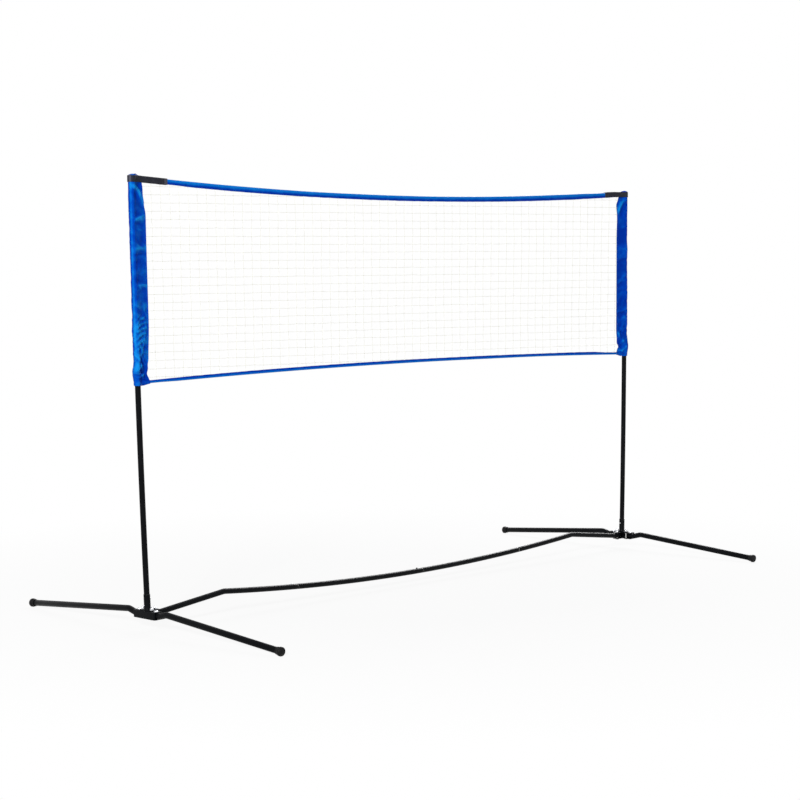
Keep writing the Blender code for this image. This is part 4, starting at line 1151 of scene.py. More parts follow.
def post(side):
    """Two tubes that plug together inside the sleeve, with a plastic cap on top."""
    outer = POST_OD / 2
    inner = outer - POST_WALL
    male = inner - FIT
    place = (BASES[side], "stand")
    line = Path([post_point(z) for z in spread(SEAT_Z, POST_SPLIT_Z, 24)])
    lower = build("post", tube(line, outer, POST_WALL), [PAINT, STEEL])
    combine(lower, post_button_drill())
    painted(lower, f"post_tube_lower_{side}", *place, f"post_lower_{side}")
    line = Path([post_point(z) for z in spread(POST_SPLIT_Z - POST_INSERT, POST_TUBE_TOP, 26)])
    swage = POST_INSERT + FIT
    outside = [(0.0, male), (swage, male), (swage + SWAGE_TAPER, outer), (line.length, outer)]
    inside = [(distance, radius - POST_WALL) for distance, radius in outside]
    upper = build("post", hollow(line, outside, inside), [PAINT, STEEL])
    painted(upper, f"post_tube_upper_{side}", *place, f"post_upper_{side}")
    rim = outer + POST_CAP_RIM
    foot = post_point(POST_TUBE_TOP + FIT)
    up = (post_point(POST_TUBE_TOP) - post_point(POST_TUBE_TOP - POST_CAP_STEM)).normalized()
    stations = [
        (-POST_CAP_STEM, 0.0), (-POST_CAP_STEM, male - 0.0008), (-POST_CAP_STEM + 0.001, male),
        (-0.0110, male), (-0.0106, male - 0.0005), (-0.0090, male - 0.0005), (-0.0086, male), (0.0, male),
        (0.0, rim - 0.0003),
    ]
    stations += [(0.0012 + (POST_CAP_HEIGHT - 0.0012) * s, rim * c ** 0.55) for s, c in arc(0, 9, 9)]
    stations.append((POST_CAP_HEIGHT, 0.0))
    shell = turned(Path([foot, foot + up]), stations, sides=48)
    piece(f"post_plug_{side}", shell, [PLASTIC], *place, [f"post_cap_{side}"], "black_plastic", sharp=50)


# Ground bar

def bar_drill(x, world_x):
    z = bar_height(world_x)
    return drill(BUTTON_OD / 2 + FIT, (x, 0, z), (x, 0, z + BAR_OD))


def bar_end_tube(side):
    """The kinked tube from a bracket to the bar's first joint."""
    mouth = POST_X - BAR_JOINT_X
    sagging = [(x, 0.0, bar_height(POST_X - x)) for x in spread(BAR_KINK_X + BAR_BEND_RADIUS, mouth, 14)]
    corners = [
        (BAR_BOLT_X - BAR_TAIL, 0.0, BAR_Z),
        (BAR_BOLT_X + BAR_STRAIGHT, 0.0, BAR_Z),
        (BAR_KINK_X, 0.0, BAR_KINK_Z),
        sagging[0],
    ]
    path = Path(bent(corners, BAR_BEND_RADIUS) + sagging[1:])
    body = build("bar", tube(path, BAR_OD / 2, BAR_WALL, lip=BAR_LIP), [PAINT, STEEL])
    bolt_hole(body, BAR_BOLT_X, 0, BAR_Z - BAR_OD, BAR_Z + BAR_OD)
    combine(body, bar_drill(mouth - BAR_BUTTON_INSET, BAR_JOINT_X + BAR_BUTTON_INSET))
    painted(body, f"bar_tube_end_{side}", BASES[side], "stand", f"bar_end_tube_{side}")


def bar_mid_tubes():
    """Two sagging tubes that meet in the middle, with narrowed ends that plug in."""
    outer = BAR_OD / 2
    male = outer - BAR_WALL - FIT
    joint = BAR_JOINT_X
    middle = BAR_MIDDLE_X
    low, high = -joint - BAR_INSERT, middle
    cuts = [(low, male), (-joint + FIT, male), (-joint + SWAGE_TAPER, outer), (high, outer)]
    tubes = [("left", low, high, cuts, (-joint - BAR_BUTTON_INSET, middle - BAR_BUTTON_INSET))]
    low, high = middle - BAR_INSERT, joint + BAR_INSERT
    cuts = [(low, male), (middle + FIT, male), (middle + SWAGE_TAPER, outer)]
    cuts += [(joint - SWAGE_TAPER, outer), (joint - FIT, male), (high, male)]
    tubes.append(("right", low, high, cuts, (middle - BAR_BUTTON_INSET, joint + BAR_BUTTON_INSET)))
    for side, low, high, cuts, holes in tubes:
        path = Path([(x, 0.0, bar_height(x)) for x in spread(low, high, 48)])
        outside = [(path.near(x), radius) for x, radius in cuts]
        inside = [(distance, radius - BAR_WALL) for distance, radius in outside]
        body = build("bar", hollow(path, outside, inside, lip=BAR_LIP), [PAINT, STEEL])
        for x in holes:
            combine(body, bar_drill(x, x))
        painted(body, f"bar_tube_mid_{side}", WORLD, "stand", f"bar_mid_tube_{side}")


# Net and fabric

class Grid:
    """A cloth surface as rows of points, read anywhere between them."""

    def __init__(self, rows):
        self.rows = rows

    def at(self, row, column):
        """The point and the normal at a place given in row and column numbers."""
        r = min(max(int(row), 0), len(self.rows) - 2)
        c = min(max(int(column), 0), len(self.rows[0]) - 2)
        u, v = row - r, column - c
        a, b = Vector(self.rows[r][c]), Vector(self.rows[r][c + 1])
        low, high = Vector(self.rows[r + 1][c]), Vector(self.rows[r + 1][c + 1])
        spot = a.lerp(b, v).lerp(low.lerp(high, v), u)
        normal = (b - a + high - low).cross(low - a + high - b).normalized()
        return spot, normal


def thicken(obj, wall):
    """Give a sheet its thickness."""
    change = obj.modifiers.new("thickness", "SOLIDIFY")
    change.thickness = wall
    change.offset = 0.0
    change.use_even_offset = True
    return apply(obj, sharp=50.0)


def stitches(line, pitch, length, radius, lift):
    """Short threads along a line of (point, normal), each arched out of the cloth."""
    path = Path([spot for spot, _ in line])
    shells = []
    start = pitch / 2
    index = 0
    while start + length < path.length:
        spots = []
        for share, height in ((0.0, -0.8), (0.12, 0.5), (0.5, 1.0), (0.88, 0.5), (1.0, -0.8)):
            distance = start + share * length
            while index < len(path.marks) - 2 and path.marks[index + 1] < distance:
                index += 1
            part = (distance - path.marks[index]) / (path.marks[index + 1] - path.marks[index])
            normal = line[index][1].lerp(line[index + 1][1], part).normalized()
            spot = path.spots[index].lerp(path.spots[index + 1], part)
            spots.append((spot + normal * (lift + height * radius), normal))
        ahead = (spots[-1][0] - spots[0][0]).normalized()
        shells.append(skin([hexagon(spot, n, ahead.cross(n).normalized(), radius) for spot, n in spots]))
        start += pitch
    return shells


def sew(name, seams, surface, matrix, slot):
    """All the threads of a cloth as one piece."""
    return piece(name, join(seams), [surface], matrix, "stand", [], slot)


def fold_heights(folds, across, height):
    """How far each place of a cloth stands out because of its folds."""
    total = np.zeros_like(across)
    for above, below, rise, line in folds:
        nearest = np.full_like(across, 1.0)
        share_of_width = np.full_like(across, 9.0)
        for (ax, az), (bx, bz) in zip(line, line[1:]):
            x, z, run_x, run_z = across - ax, height - az, bx - ax, bz - az
            share = np.clip((x * run_x + z * run_z) / (run_x * run_x + run_z * run_z), 0.0, 1.0)
            x, z = x - share * run_x, z - share * run_z
            distance = np.hypot(x, z)
            upper = (z * run_x - x * run_z) * np.sign(run_x) > 0
            closer = distance < nearest
            nearest = np.where(closer, distance, nearest)
            share_of_width = np.where(closer, distance / np.where(upper, above, below), share_of_width)
        total += rise * np.exp(-share_of_width ** 1.5)
    return total


def shown_folds(side):
    """The folds of a sleeve's table, in metres."""
    folds = []
    for above, below, rise, *line in FOLDS[side]:
        line = [(x / 1000, z / 1000) for x, z in zip(line[::2], line[1::2])]
        folds.append((above / 1000, below / 1000, rise / 1000, line))
    return folds


def loose_folds(seed, count):
    """Slanting folds for a sleeve's side that the photograph doesn't show, closer together near the hem."""
    draw = random.Random(seed)
    folds = []
    for _ in range(count):
        z = SLEEVE_BOTTOM_Z + 0.03 + (SLEEVE_LENGTH - 0.08) * draw.random() ** 1.7
        w = draw.uniform(-0.035, 0.015)
        reach = draw.uniform(0.016, 0.040)
        slant = draw.uniform(-0.9, 0.9)
        rise = draw.choice((-0.8, 1.0)) * draw.uniform(0.0018, 0.0032)
        bend = draw.uniform(-0.2, 0.2) * reach
        line = ((w, z), (w + reach / 2, z + slant * reach / 2 + bend), (w + reach, z + slant * reach))
        folds.append((draw.uniform(0.006, 0.010), draw.uniform(0.005, 0.008), rise, line))
    return folds


def crumple(x, y, z, scale, detail=3):
    return noise.fractal(Vector((x, y, z)) * scale, 1.0, 2.0, detail, noise_basis="PERLIN_ORIGINAL")


def shifts(z, table):
    """The sum of a table's shifts at a height."""
    return sum(shift * bell(z, height, span) for height, span, shift in table)


def sleeve_edge(side, z):
    """Where a fin's edge is in its base's frame."""
    return fin_edge_x(z) + shifts(z, EDGE_SHAPE[side])


def sleeve_section(x, share, pinch):
    """Half a sleeve's thickness beside the post, where its corner band pinches it and where it hangs free."""
    start_y = CLOTH_RADIUS * math.sin(PANEL_START)
    part = min(share / (1.0 - SEWN_SHARE), 1.0)
    free = start_y + (EDGE_HALF - start_y) * part - PANEL_SAG * math.sin(math.pi * part)
    tangent = math.acos(CLOTH_RADIUS / SEAM_X)
    leave_x = CLOTH_RADIUS * math.cos(tangent)
    leave_y = CLOTH_RADIUS * math.sin(tangent)
    if x < leave_x:
        pinched = math.sqrt(CLOTH_RADIUS ** 2 - x * x)
    else:
        pinched = leave_y + (EDGE_HALF - leave_y) * min((x - leave_x) / (SEAM_X - leave_x), 1.0)
    return free + (pinched - free) * pinch


def loop_turn(share):
    """The angle round the post at a share of the cloth's way round it."""
    return PANEL_START + share * 2 * (math.pi - PANEL_START)


def cloth_waves(w, z, low, seed, busy, front):
    """The small creases of a sleeve, which are slanted, longer and fuller low down."""
    slant = z + (0.15 + 0.35 * low) * (w if front else -w)
    w *= 0.45 + 0.75 * low
    out = 0.0048 * busy * (0.20 - abs(crumple(w, seed, slant, 30.0, 2)))
    return out + 0.0009 * busy * crumple(w, seed, slant, 70.0)


def sleeve_tone(side, kind, share, z):
    """How pale a sleeve is painted before its folds: the right one darker as painted shade; the left one's
    loop with a painted highlight strip, painted shade beyond it and a paler painted highlight at its top.
    """
    tone = BARE_TONE[side]
    if kind == "loop" and side == "left":
        turn = math.degrees(loop_turn(share))
        # Painted highlight in a strip round the post, then painted shade on the loop's outer side.
        tone += 0.28 * bell(turn, HIGHLIGHT_TURN, 21, 4) - 0.26 * unit((turn - HIGHLIGHT_TURN - 21) / 10)
        # Low down the left loop's painted highlight evens out; its top above the band is painted paler as a
        # highlight.
        tone += (0.56 - tone) * unit((0.97 - z) / 0.07)
        tone += 0.25 * unit((z - SLEEVE_TOP_Z + 0.009) / 0.003)
    return tone


def sleeve_rows(side, facing, columns):
    """The rows of points of a sleeve's cloth, and each point's painted tone, 0 to 1: paler as painted
    highlight where it stands out, deeper as painted shade where it sinks in.
    """
    start_x = CLOTH_RADIUS * math.cos(PANEL_START)
    folds, behind = shown_folds(side), loose_folds(len(side), HIDDEN_FOLDS)
    at_post, at_edge = HEM_LIFT[side]
    rows = []
    stands = []
    for z in spread(SLEEVE_BOTTOM_Z, SLEEVE_TOP_Z, SLEEVE_ROWS):
        centre = post_axis_x(z)
        rise = (z - SLEEVE_BOTTOM_Z) / SLEEVE_LENGTH
        edge = sleeve_edge(side, z) - centre
        bulge = shifts(z, BULGE[side])
        sewn = SLEEVE_CLOTH * unit((SLEEVE_BOTTOM_Z + SLEEVE_HEM - z) / 0.0015)
        across = []
        for kind, _, share in columns:
            if kind == "panel":
                across.append(start_x + share * (edge - start_x) - SEAM_X)
            else:
                turn = loop_turn(share)
                across.append(start_x - SEAM_X - CLOTH_RADIUS * (min(turn, 2 * math.pi - turn) - PANEL_START))
        across = np.array(across)
        level = np.full_like(across, z)
        shown = fold_heights(folds, across, level)
        hidden = fold_heights(behind, across, level)
        calm = unit((BAND_LOW_Z - z) / CALM_SPAN)
        pinch = smooth(unit((z - PINCH_LOW_Z) / (BAND_LOW_Z - PINCH_LOW_Z)))
        top = unit((z - SLEEVE_TOP_Z + TOP_SPAN) / TOP_SPAN)
        bottom = unit((SLEEVE_BOTTOM_Z + BOTTOM_SPAN - z) / BOTTOM_SPAN)
        tuck = 0.0016 * bell(z + bottom * at_edge, TUCK_Z, 0.0085, 4)
        taped = bell(z, TUCK_Z, 0.014, 4)
        low = bell(z, BUSY_Z, BUSY_SPAN)
        busy = BUSY[side][0] + BUSY[side][1] * low
        outs = []
        for w, lit, shaded, (kind, sign, share) in zip(across, shown, hidden, columns):
            front = sign == facing
            out = lit if front else shaded
            if kind == "loop":
                front = share < 0.5
                blend = unit((0.62 - share) / 0.24)
                out = lit * blend + shaded * (1 - blend)
            seed = facing + (3.0 if front else 9.0)
            out += cloth_waves(w, z, low, seed, busy, front)
            out += 0.0024 * crumple(w, seed + 20, z * 0.6, 20.0, 2)
            out *= calm
            if kind == "loop":
                out *= 1.0 - 0.68 * math.sin(math.pi * share) ** 0.8
            outs.append(out)
            # Painted light and shade: the sleeve's painted tone raised where the cloth stands out and lowered
            # where it sinks in.
            stands.append(unit(sleeve_tone(side, kind, share, z) + out / PALE_OUT))
        row = []
        for index, (kind, sign, share) in enumerate(columns):
            out = outs[index]
            if kind == "panel":
                x = start_x + share * (edge - start_x)
                hold = min(1.0, 5.0 * (1.0 - SEWN_SHARE - share) + 0.10) if share < 1.0 - SEWN_SHARE else 0.10
                follow = min(unit((share - 0.30) / 0.35), 0.85) * unit((0.93 - share) / 0.08) * (1 - taped)
                together = outs[index if sign == facing else len(columns) - 1 - index] * hold * follow
                tucked = tuck * unit((share - 0.78) / 0.08)
                y = max(sleeve_section(x, share, pinch) + out * hold * (1 - follow), EDGE_HALF + tucked)
                if x < POST_CLEARANCE:
                    y = max(y, math.sqrt(POST_CLEARANCE ** 2 - x * x))
                y = sign * (y + sewn) + facing * together
                y += 0.0020 * math.sin(7 * math.pi * rise) * (1 - rise) * math.sin(math.pi * share) * share
            else:
                turn = loop_turn(share)
                reach = CLOTH_RADIUS + max(out, POST_CLEARANCE - CLOTH_RADIUS) + sewn
                reach += bulge * max(-math.cos(turn), 0.0)
                x = reach * math.cos(turn)
                y = facing * reach * math.sin(turn)
            raised = top * TOP_LIFT * bell(across[index], -0.010, 0.016)
            raised += bottom * (at_post + (at_edge - at_post) * unit(across[index] / 0.028))
            row.append((centre + x, y, z + raised))
        rows.append(row)
    return rows, stands


def sleeve(side):
    """One sheet folded round the post into a flat envelope, whose sewn edges hold the mesh."""
    facing = -1.0 if side == "left" else 1.0
    columns = [("panel", facing, share) for share in spread(1.0, 0.0, PANEL_SPANS)]
    columns += [("loop", facing, share) for share in spread(0.0, 1.0, LOOP_SPANS)[1:-1]]
    columns += [("panel", -facing, share) for share in spread(0.0, 1.0, PANEL_SPANS)]
    rows, stands = sleeve_rows(side, facing, columns)
    cloth = build(f"sleeve_cloth_{side}", skin(rows, closed=False), [BLUE], sharp=60, folds=stands)
    thicken(cloth, SLEEVE_CLOTH)
    finish_piece(cloth, BASES[side], "stand", [f"pole_sleeve_{side}"])
    grid = Grid(rows)
    last = len(columns) - 1
    seams = []

    def outward(row, column):
        spot, normal = grid.at(row, column)
        away = spot - Vector((post_axis_x(spot.z), 0.0, spot.z))
        if column < PANEL_SPANS or column > last - PANEL_SPANS:
            away = Vector((0.0, spot.y, 0.0))
        return spot, (normal if normal.dot(away) > 0 else -normal)

    for column in (1.6, 3.8, last - 1.6, last - 3.8):
        line = [outward(row, column) for row in range(2, SLEEVE_ROWS - 2)]
        seams += stitches(line, *SLEEVE_STITCH, SLEEVE_CLOTH / 2)
    for height in HEM_SEAMS:
        line = [outward(height / (SLEEVE_LENGTH / SLEEVE_ROWS), column) for column in range(1, last)]
        seams += stitches(line, *SLEEVE_STITCH, SLEEVE_CLOTH / 2)
    thread = sew(f"sleeve_thread_{side}", seams, THREAD, BASES[side], "blue_fabric")


def tape_sway(x, seed):
    """How far a tape strays from the net's plane, less between the corner bands."""
    return 0.0012 * unit((1.10 - abs(x)) / 0.10) * crumple(x, seed, 0.0, 3.0, 2)


def tape_extra(x, places, extras):
    return float(np.interp(x, places, extras)) / 1000


def tape_section(half, height, centre):
    """A tape's section as (y, depth) from one sewn edge to the other, and the index of its middle."""
    radius = half - TAPE_CLOTH / 2 - 0.0001
    section = [(-PINCHED, height), (-PINCHED * 1.03, height * 0.955), (-PINCHED * 1.06, height * 0.91)]
    section += [(-PINCHED - (radius - PINCHED) * full, height * depth) for full, depth in TAPE_FULLNESS]
    section += [(-radius * c, centre - radius * s) for s, c in arc(1, 6, 6, 180)]
    middle = len(section) - 3
    return section + [(-y, depth) for y, depth in reversed(section[:-5])], middle


def edge_tape(name, cad_name, edge, half, height, opening, ends, tucked, cord_radius, tone, seed):
    """A strip folded over the net's edge: a bead round its cord, and two layers sewn together on the mesh."""
    corded, sewn = TAPE_EXTRA[name]
    centre = cord_radius + FIT + TAPE_CLOTH / 2 + 0.0003
    places = spread(ends[0] + tucked + 0.001, ends[1] - tucked - 0.001, 160)
    depths = [centre - tape_extra(x, *corded) for x in places]
    path = Path([(x, tape_sway(x, seed), edge(x) + opening * depth) for x, depth in zip(places, depths)])
    stations = [(0.0, 0.0), (0.0, cord_radius - 0.0003), (0.0003, cord_radius)]
    stations += [(mark, cord_radius) for mark in path.marks[1:-1]]
    stations += [(path.length - 0.0003, cord_radius), (path.length, cord_radius - 0.0003), (path.length, 0.0)]
    braid = turned(path, stations, sides=14)
    cord = cad_name.replace("tape", "cord")
    piece(f"{name}_braid", braid, [CORD], WORLD, "stand", [cord], "white_cord")
    section, middle = tape_section(half, height, centre)
    stations = int((ends[1] - ends[0]) / 0.005)
    rings = []
    for x in spread(ends[0], ends[1], stations):
        sway = tape_sway(x, seed)
        flatten = 1.0
        if tucked:
            flatten = 0.72 + 0.28 * unit((min(x - ends[0], ends[1] - x) - tucked) / 0.008)
        beyond = tape_extra(x, *corded)
        taller = (beyond + tape_extra(x, *sewn)) / (height - 2 * centre)
        ring = []
        for index, (y, depth) in enumerate(section):
            low = unit((depth / height - 0.35) / 0.5)
            pucker = 0.00035 * math.sin(2 * math.pi * x / 0.017 + seed) * low
            pucker += 0.0005 * crumple(x, depth, seed, 60.0) * (0.3 + low)
            wave = 0.0007 * crumple(x, seed + 5, 0.0, 14.0, 2) * low
            sign = -1.0 if index < middle else 1.0
            y = sign * max(sign * y + 0.5 * pucker, PINCHED - 0.0001) if abs(y) > 0.0005 else y
            y = y * flatten + sway + wave * (flatten > 0.99)
            drop = depth + 0.0006 * crumple(x, seed + 8, 0.0, 30.0, 2) * low
            drop += taller * max(depth - 2 * centre, 0.0) - beyond
            ring.append((x, y, edge(x) + opening * drop))
        rings.append(ring)
    grid = Grid(rings)
    # Painted light and shade across the tape's section: shade beside its seam, highlight on its bead, all
    # lowered by the tape's tone.
    tones = [TAPE_TONES[min(index, len(section) - 1 - index)] - tone for index in range(len(section))]
    folds = tones * len(rings)
    sheet = build(f"{name}_cloth", skin(rings, closed=False), [BLUE], sharp=60, folds=folds)
    thicken(sheet, TAPE_CLOTH)
    finish_piece(sheet, WORLD, "stand", [cad_name])
    seams = []
    for column, sign in ((1.6, -1.0), (len(section) - 2.6, 1.0)):
        line = [grid.at(row, column) for row in range(1, stations)]
        line = [(spot, normal if normal.y * sign > 0 else -normal) for spot, normal in line]
        seams += stitches(line, *TAPE_STITCH, TAPE_CLOTH / 2)
    thread = sew(f"{name}_thread", seams, THREAD, WORLD, "blue_fabric")


def net_edges():
    end = POST_X - fin_edge_x(SLEEVE_TOP_Z) - TAPE_END_GAP
    shape = (tape_top, TAPE_HALF, TAPE_HEIGHT, -1, (-end, end), 0.0)
    edge_tape("top_edge", "top_tape", *shape, TOP_CORD_OD / 2, 0.0, TAPE_SEED)
    ends = (sleeve_edge("left", TUCK_Z) - POST_X - TUCK, POST_X - sleeve_edge("right", TUCK_Z) + TUCK)
    shape = (hem_bottom, HEM_HALF, HEM_HEIGHT, 1, ends, TUCK)
    # The bottom tape's tone of 0.05 paints it darker all over as shade.
    edge_tape("bottom_edge", "bottom_tape", *shape, HEM_CORD_OD / 2, 0.05, HEM_SEED)


def net_spot(column, row):
    """Where a column of the net crosses a row, and how far that is inside the hem and inside the top tape."""
    x = NET_FIRST_X + NET_PITCH * column + NET_PITCH_GROWTH * column ** 2
    z = NET_ROW_Z + NET_ROW_SLOPE * x - row * (NET_ROW_PITCH + NET_ROW_GROWTH * x)
    if column == -1:
        x = sleeve_edge("left", z) - POST_X - 0.004
    elif column == NET_COLUMNS:
        x = POST_X - sleeve_edge("right", z) + 0.004
    else:
        x += (NET_FAN * x + NET_LEAN) * (z - NET_MIDDLE_Z)
    return x, z, z - hem_bottom(x) - HEM_HEIGHT, tape_top(x) - TAPE_HEIGHT - z


def held_sway(x, above, below):
    """How far the nearer tape strays from the net's plane."""
    return tape_sway(x, HEM_SEED if above < below else TAPE_SEED)


def net_knots(draw):
    """Where the net's knots are, by column and row, with those that the tapes and sleeves hold."""
    knots = {}
    for column in range(-1, NET_COLUMNS + 1):
        for row in NET_ROWS:
            x, z, above, below = net_spot(column, row)
            if min(above, below) < -NET_BITE:
                continue
            shift = (0.0, 0.0, 0.0)
            calm = 0.0
            if min(above, below) < NET_HELD:
                shift = (0.0, held_sway(x, above, below), 0.0)
            elif column not in (-1, NET_COLUMNS):
                shift = [draw.uniform(-stray, stray) for stray in KNOT_STRAY]
                calm = min(1.0, 6 * above, 6 * below, (1.27 - abs(x)) * 6)
            sway = 0.0045 * crumple(x, 31.0, z * 1.5, 2.2, 2) * calm
            knots[column, row] = Vector((x, sway, z)) + Vector(shift)
    return knots


def net_entry(column, row, inner):
    """The point near a column where a row has gone into a tape, seen from the column beside it."""
    near, far = inner, column
    for _ in range(12):
        middle = (near + far) / 2
        if min(net_spot(middle, row)[2:]) < -NET_BITE:
            far = middle
        else:
            near = middle
    x, z, above, below = net_spot(near, row)
    return Vector((x, held_sway(x, above, below), z))


def strand(spots, rising):
    """A thin twisted line through knots, bowed a little between them."""
    line = []
    for index, (a, b) in enumerate(zip(spots, spots[1:])):
        line.append(a)
        for share in (0.33, 0.67):
            bow = STRAND_BOW * math.sin(math.pi * share)
            shift = Vector((bow * (1 if index % 2 else -1), 0, 0)) if rising else Vector((0, 0, -bow))
            line.append(a.lerp(b, share) + shift)
    line.append(spots[-1])
    rings = []
    for index, spot in enumerate(line):
        ahead = heading(line, index)
        side = Vector((0, 1, 0)).cross(ahead).normalized()
        rings.append(hexagon(spot, side, ahead.cross(side), STRAND_RADIUS))
    return skin([[line[0]]] + rings + [[line[-1]]])


def knot(centre, ahead):
    """A small lumpy knot."""
    side = Vector((0, 1, 0)).cross(ahead).normalized()
    normal = ahead.cross(side)
    rings = []
    for distance, radius in ((-1.5, 0.45), (-0.95, 1.0), (0.0, 1.2), (0.95, 1.0), (1.5, 0.45)):
        spot = centre + ahead * distance * KNOT_SIZE
        ring = []
        for a in HEX_ANGLES:
            lump = 1.0 + 0.22 * math.cos(3 * a + distance)
            ring.append(spot + (side * math.cos(a) + normal * math.sin(a)) * radius * KNOT_SIZE * lump)
        rings.append(ring)
    first, last = ([ring[0].lerp(ring[3], 0.5)] for ring in (rings[0], rings[-1]))
    return skin([first] + rings + [last])


def net():
    """Knotted twine: slack strands that run into the tapes and the sleeves."""
    draw = random.Random(12)
    knots = net_knots(draw)
    shells = []
    for column in range(NET_COLUMNS):
        spots = [knots[column, row] for row in reversed(NET_ROWS) if (column, row) in knots]
        x, z = spots[0].x, hem_bottom(spots[0].x) + HEM_HEIGHT
        low = [Vector((x, tape_sway(x, HEM_SEED), z + lift)) for lift in (-0.006, 0.0005)]
        x, z = spots[-1].x, tape_top(spots[-1].x) - TAPE_HEIGHT
        high = [Vector((x, tape_sway(x, TAPE_SEED), z + lift)) for lift in (-0.0005, 0.009)]
        spots = [spot for spot in spots if low[1].z + 0.002 < spot.z < high[0].z - 0.002]
        shells.append(strand(low + spots + high, True))
    for row in NET_ROWS:
        spots = []
        for column in range(-1, NET_COLUMNS + 2):
            if (column, row) in knots:
                if not spots and column > -1:
                    spots.append(net_entry(column - 1, row, column))
                spots.append(knots[column, row])
            elif spots:
                if column <= NET_COLUMNS:
                    spots.append(net_entry(column, row, column - 1))
                shells.append(strand(spots, False))
                spots = []
    piece("net_twine", join(shells), [TWINE], WORLD, "stand", ["net_mesh"], "net_twine", sharp=80)
    shells = []
    for column in range(NET_COLUMNS):
        for row in NET_ROWS:
            if (column, row) in knots and min(net_spot(column, row)[2:]) >= NET_HELD:
                ahead = Vector((draw.uniform(-0.5, 0.5), draw.uniform(-0.2, 0.2), 1.0)).normalized()
                shells.append(knot(knots[column, row], ahead))
    piece("net_knots", join(shells), [TWINE], WORLD, "stand", [], "net_twine", sharp=80)


def band_line(side):
    """Centre line of a corner band in plan, from the end of one leg round the post to the other."""
    centre = post_axis_x(tape_top(POST_X) - BAND_HEIGHT / 2)
    loop = POST_OD / 2 + SLEEVE_EASE + SLEEVE_WALL + FIT + BAND_WALL / 2
    beside = TAPE_HALF + FIT + BAND_WALL / 2
    end = centre + BAND_LENGTH + BAND_EXTRA[side]
    neck = centre + FIN_TOP_REACH + loop / 2
    turn = math.radians(BAND_TURN)
    leave = (centre + loop * math.cos(turn), loop * math.sin(turn))
    line = []
    for share in spread(0.0, 1.0, 26):
        x = end + (neck - end) * share
        line.append((x, beside + 0.0004 * math.sin(9 * share) * math.sin(math.pi * share)))
    slope = -math.cos(turn) / math.sin(turn) * (neck - leave[0])
    for share in spread(1.0, 0.0, 9)[1:-1]:
        y = leave[1] + (beside - leave[1]) * smooth(share) + slope * share * (1 - share) ** 2
        line.append((leave[0] + (neck - leave[0]) * share, y))
    for angle in spread(BAND_TURN, 180, 16)[:-1]:
        line.append((centre + loop * math.cos(math.radians(angle)), loop * math.sin(math.radians(angle))))
    return line + [(centre - loop, 0.0)] + [(x, -y) for x, y in reversed(line)]


def capped(rings):
    """A surface through rings, closed at both ends."""
    first, last = ([sum(ring, Vector()) / len(ring)] for ring in (rings[0], rings[-1]))
    return skin([first] + rings + [last])


def strap(line, tops, height, wall):
    """Webbing on edge along a line in plan, with soft selvedges."""
    spots = [Vector((x, y, 0.0)) for x, y in line]
    face = [(0.0, 0.55)] + [(-share, 1.0) for share in (0.03, 0.2, 0.4, 0.6, 0.8, 0.97)] + [(-1.0, 0.55)]
    section = [(rise, -out) for rise, out in face] + face[::-1]
    rings = []
    for index, (spot, top) in enumerate(zip(spots, tops)):
        ahead = heading(spots, index)
        normal = Vector((ahead.y, -ahead.x, 0.0)) * wall / 2
        rings.append([spot + normal * out + Vector((0, 0, top + rise * height)) for rise, out in section])
    return capped(rings), len(section)


def corner_band(side):
    """Webbing round the top of a sleeve and along both faces of the tape, sewn with boxes at its ends."""
    line = band_line(side)
    count = len(line)
    tops = []
    for x, _ in line:
        top = tape_top(POST_X - max(x, 0.0)) + BAND_ABOVE_TAPE
        top += -0.0010 if side == "left" else 0.0024 * unit((x - 0.020) / 0.025)
        tops.append(top + 0.0005 * crumple(x, 3.0, len(side), 30.0, 2))
    shell, around = strap(line, tops, BAND_HEIGHT, BAND_WALL)
    facing = -1.0 if side == "left" else 1.0
    centre = post_axis_x(tops[count // 2])
    # Painted highlight on the webbing: paler in a strip where the left band wraps round the post, and at the
    # band's ends; rubbed and worn hold this painted highlight tone.
    rubbed = []
    for index, (x, y) in enumerate(line):
        turn = math.degrees(math.atan2(facing * y, x - centre))
        worn = 0.5 + 0.42 * bell(turn, 150, 20, 4) * (side == "left") * (math.hypot(x - centre, y) < 0.03)
        if min(index, count - 1 - index) < (4 if side == "left" else 1):
            worn = 0.82
        rubbed += [worn] * around
    band = build(f"band_strap_{side}", shell, [WEBBING], sharp=50, folds=[0.85] + rubbed + [0.85])
    finish_piece(band, BASES[side], "stand", [f"corner_band_{side}"])
    seams = []
    for first, last in ((1, 6), (count - 7, count - 2), (22, 25), (count - 26, count - 23)):
        normal = Vector((0.0, 1.0 if first < count / 2 else -1.0, 0.0))
        box = []
        for index, rise in ((first, 0.12), (last, 0.12), (last, 0.88), (first, 0.88)):
            x, y = line[index]
            box.append(Vector((x, y + normal.y * BAND_WALL / 2, tops[index] - rise * BAND_HEIGHT)))
        pairs = list(zip(box, box[1:] + box[:1])) + [(box[0], box[2]), (box[1], box[3])]
        if last - first < 4:
            pairs = [(box[1], box[2]), (box[3], box[0])]
        for a, b in pairs:
            steps = [(a.lerp(b, share), normal) for share in spread(0.0, 1.0, 8)]
            seams += stitches(steps, *BAND_STITCH, 0.0)
    thread = sew(f"band_thread_{side}", seams, BAND_THREAD, BASES[side], "black_webbing")


# Spring buttons

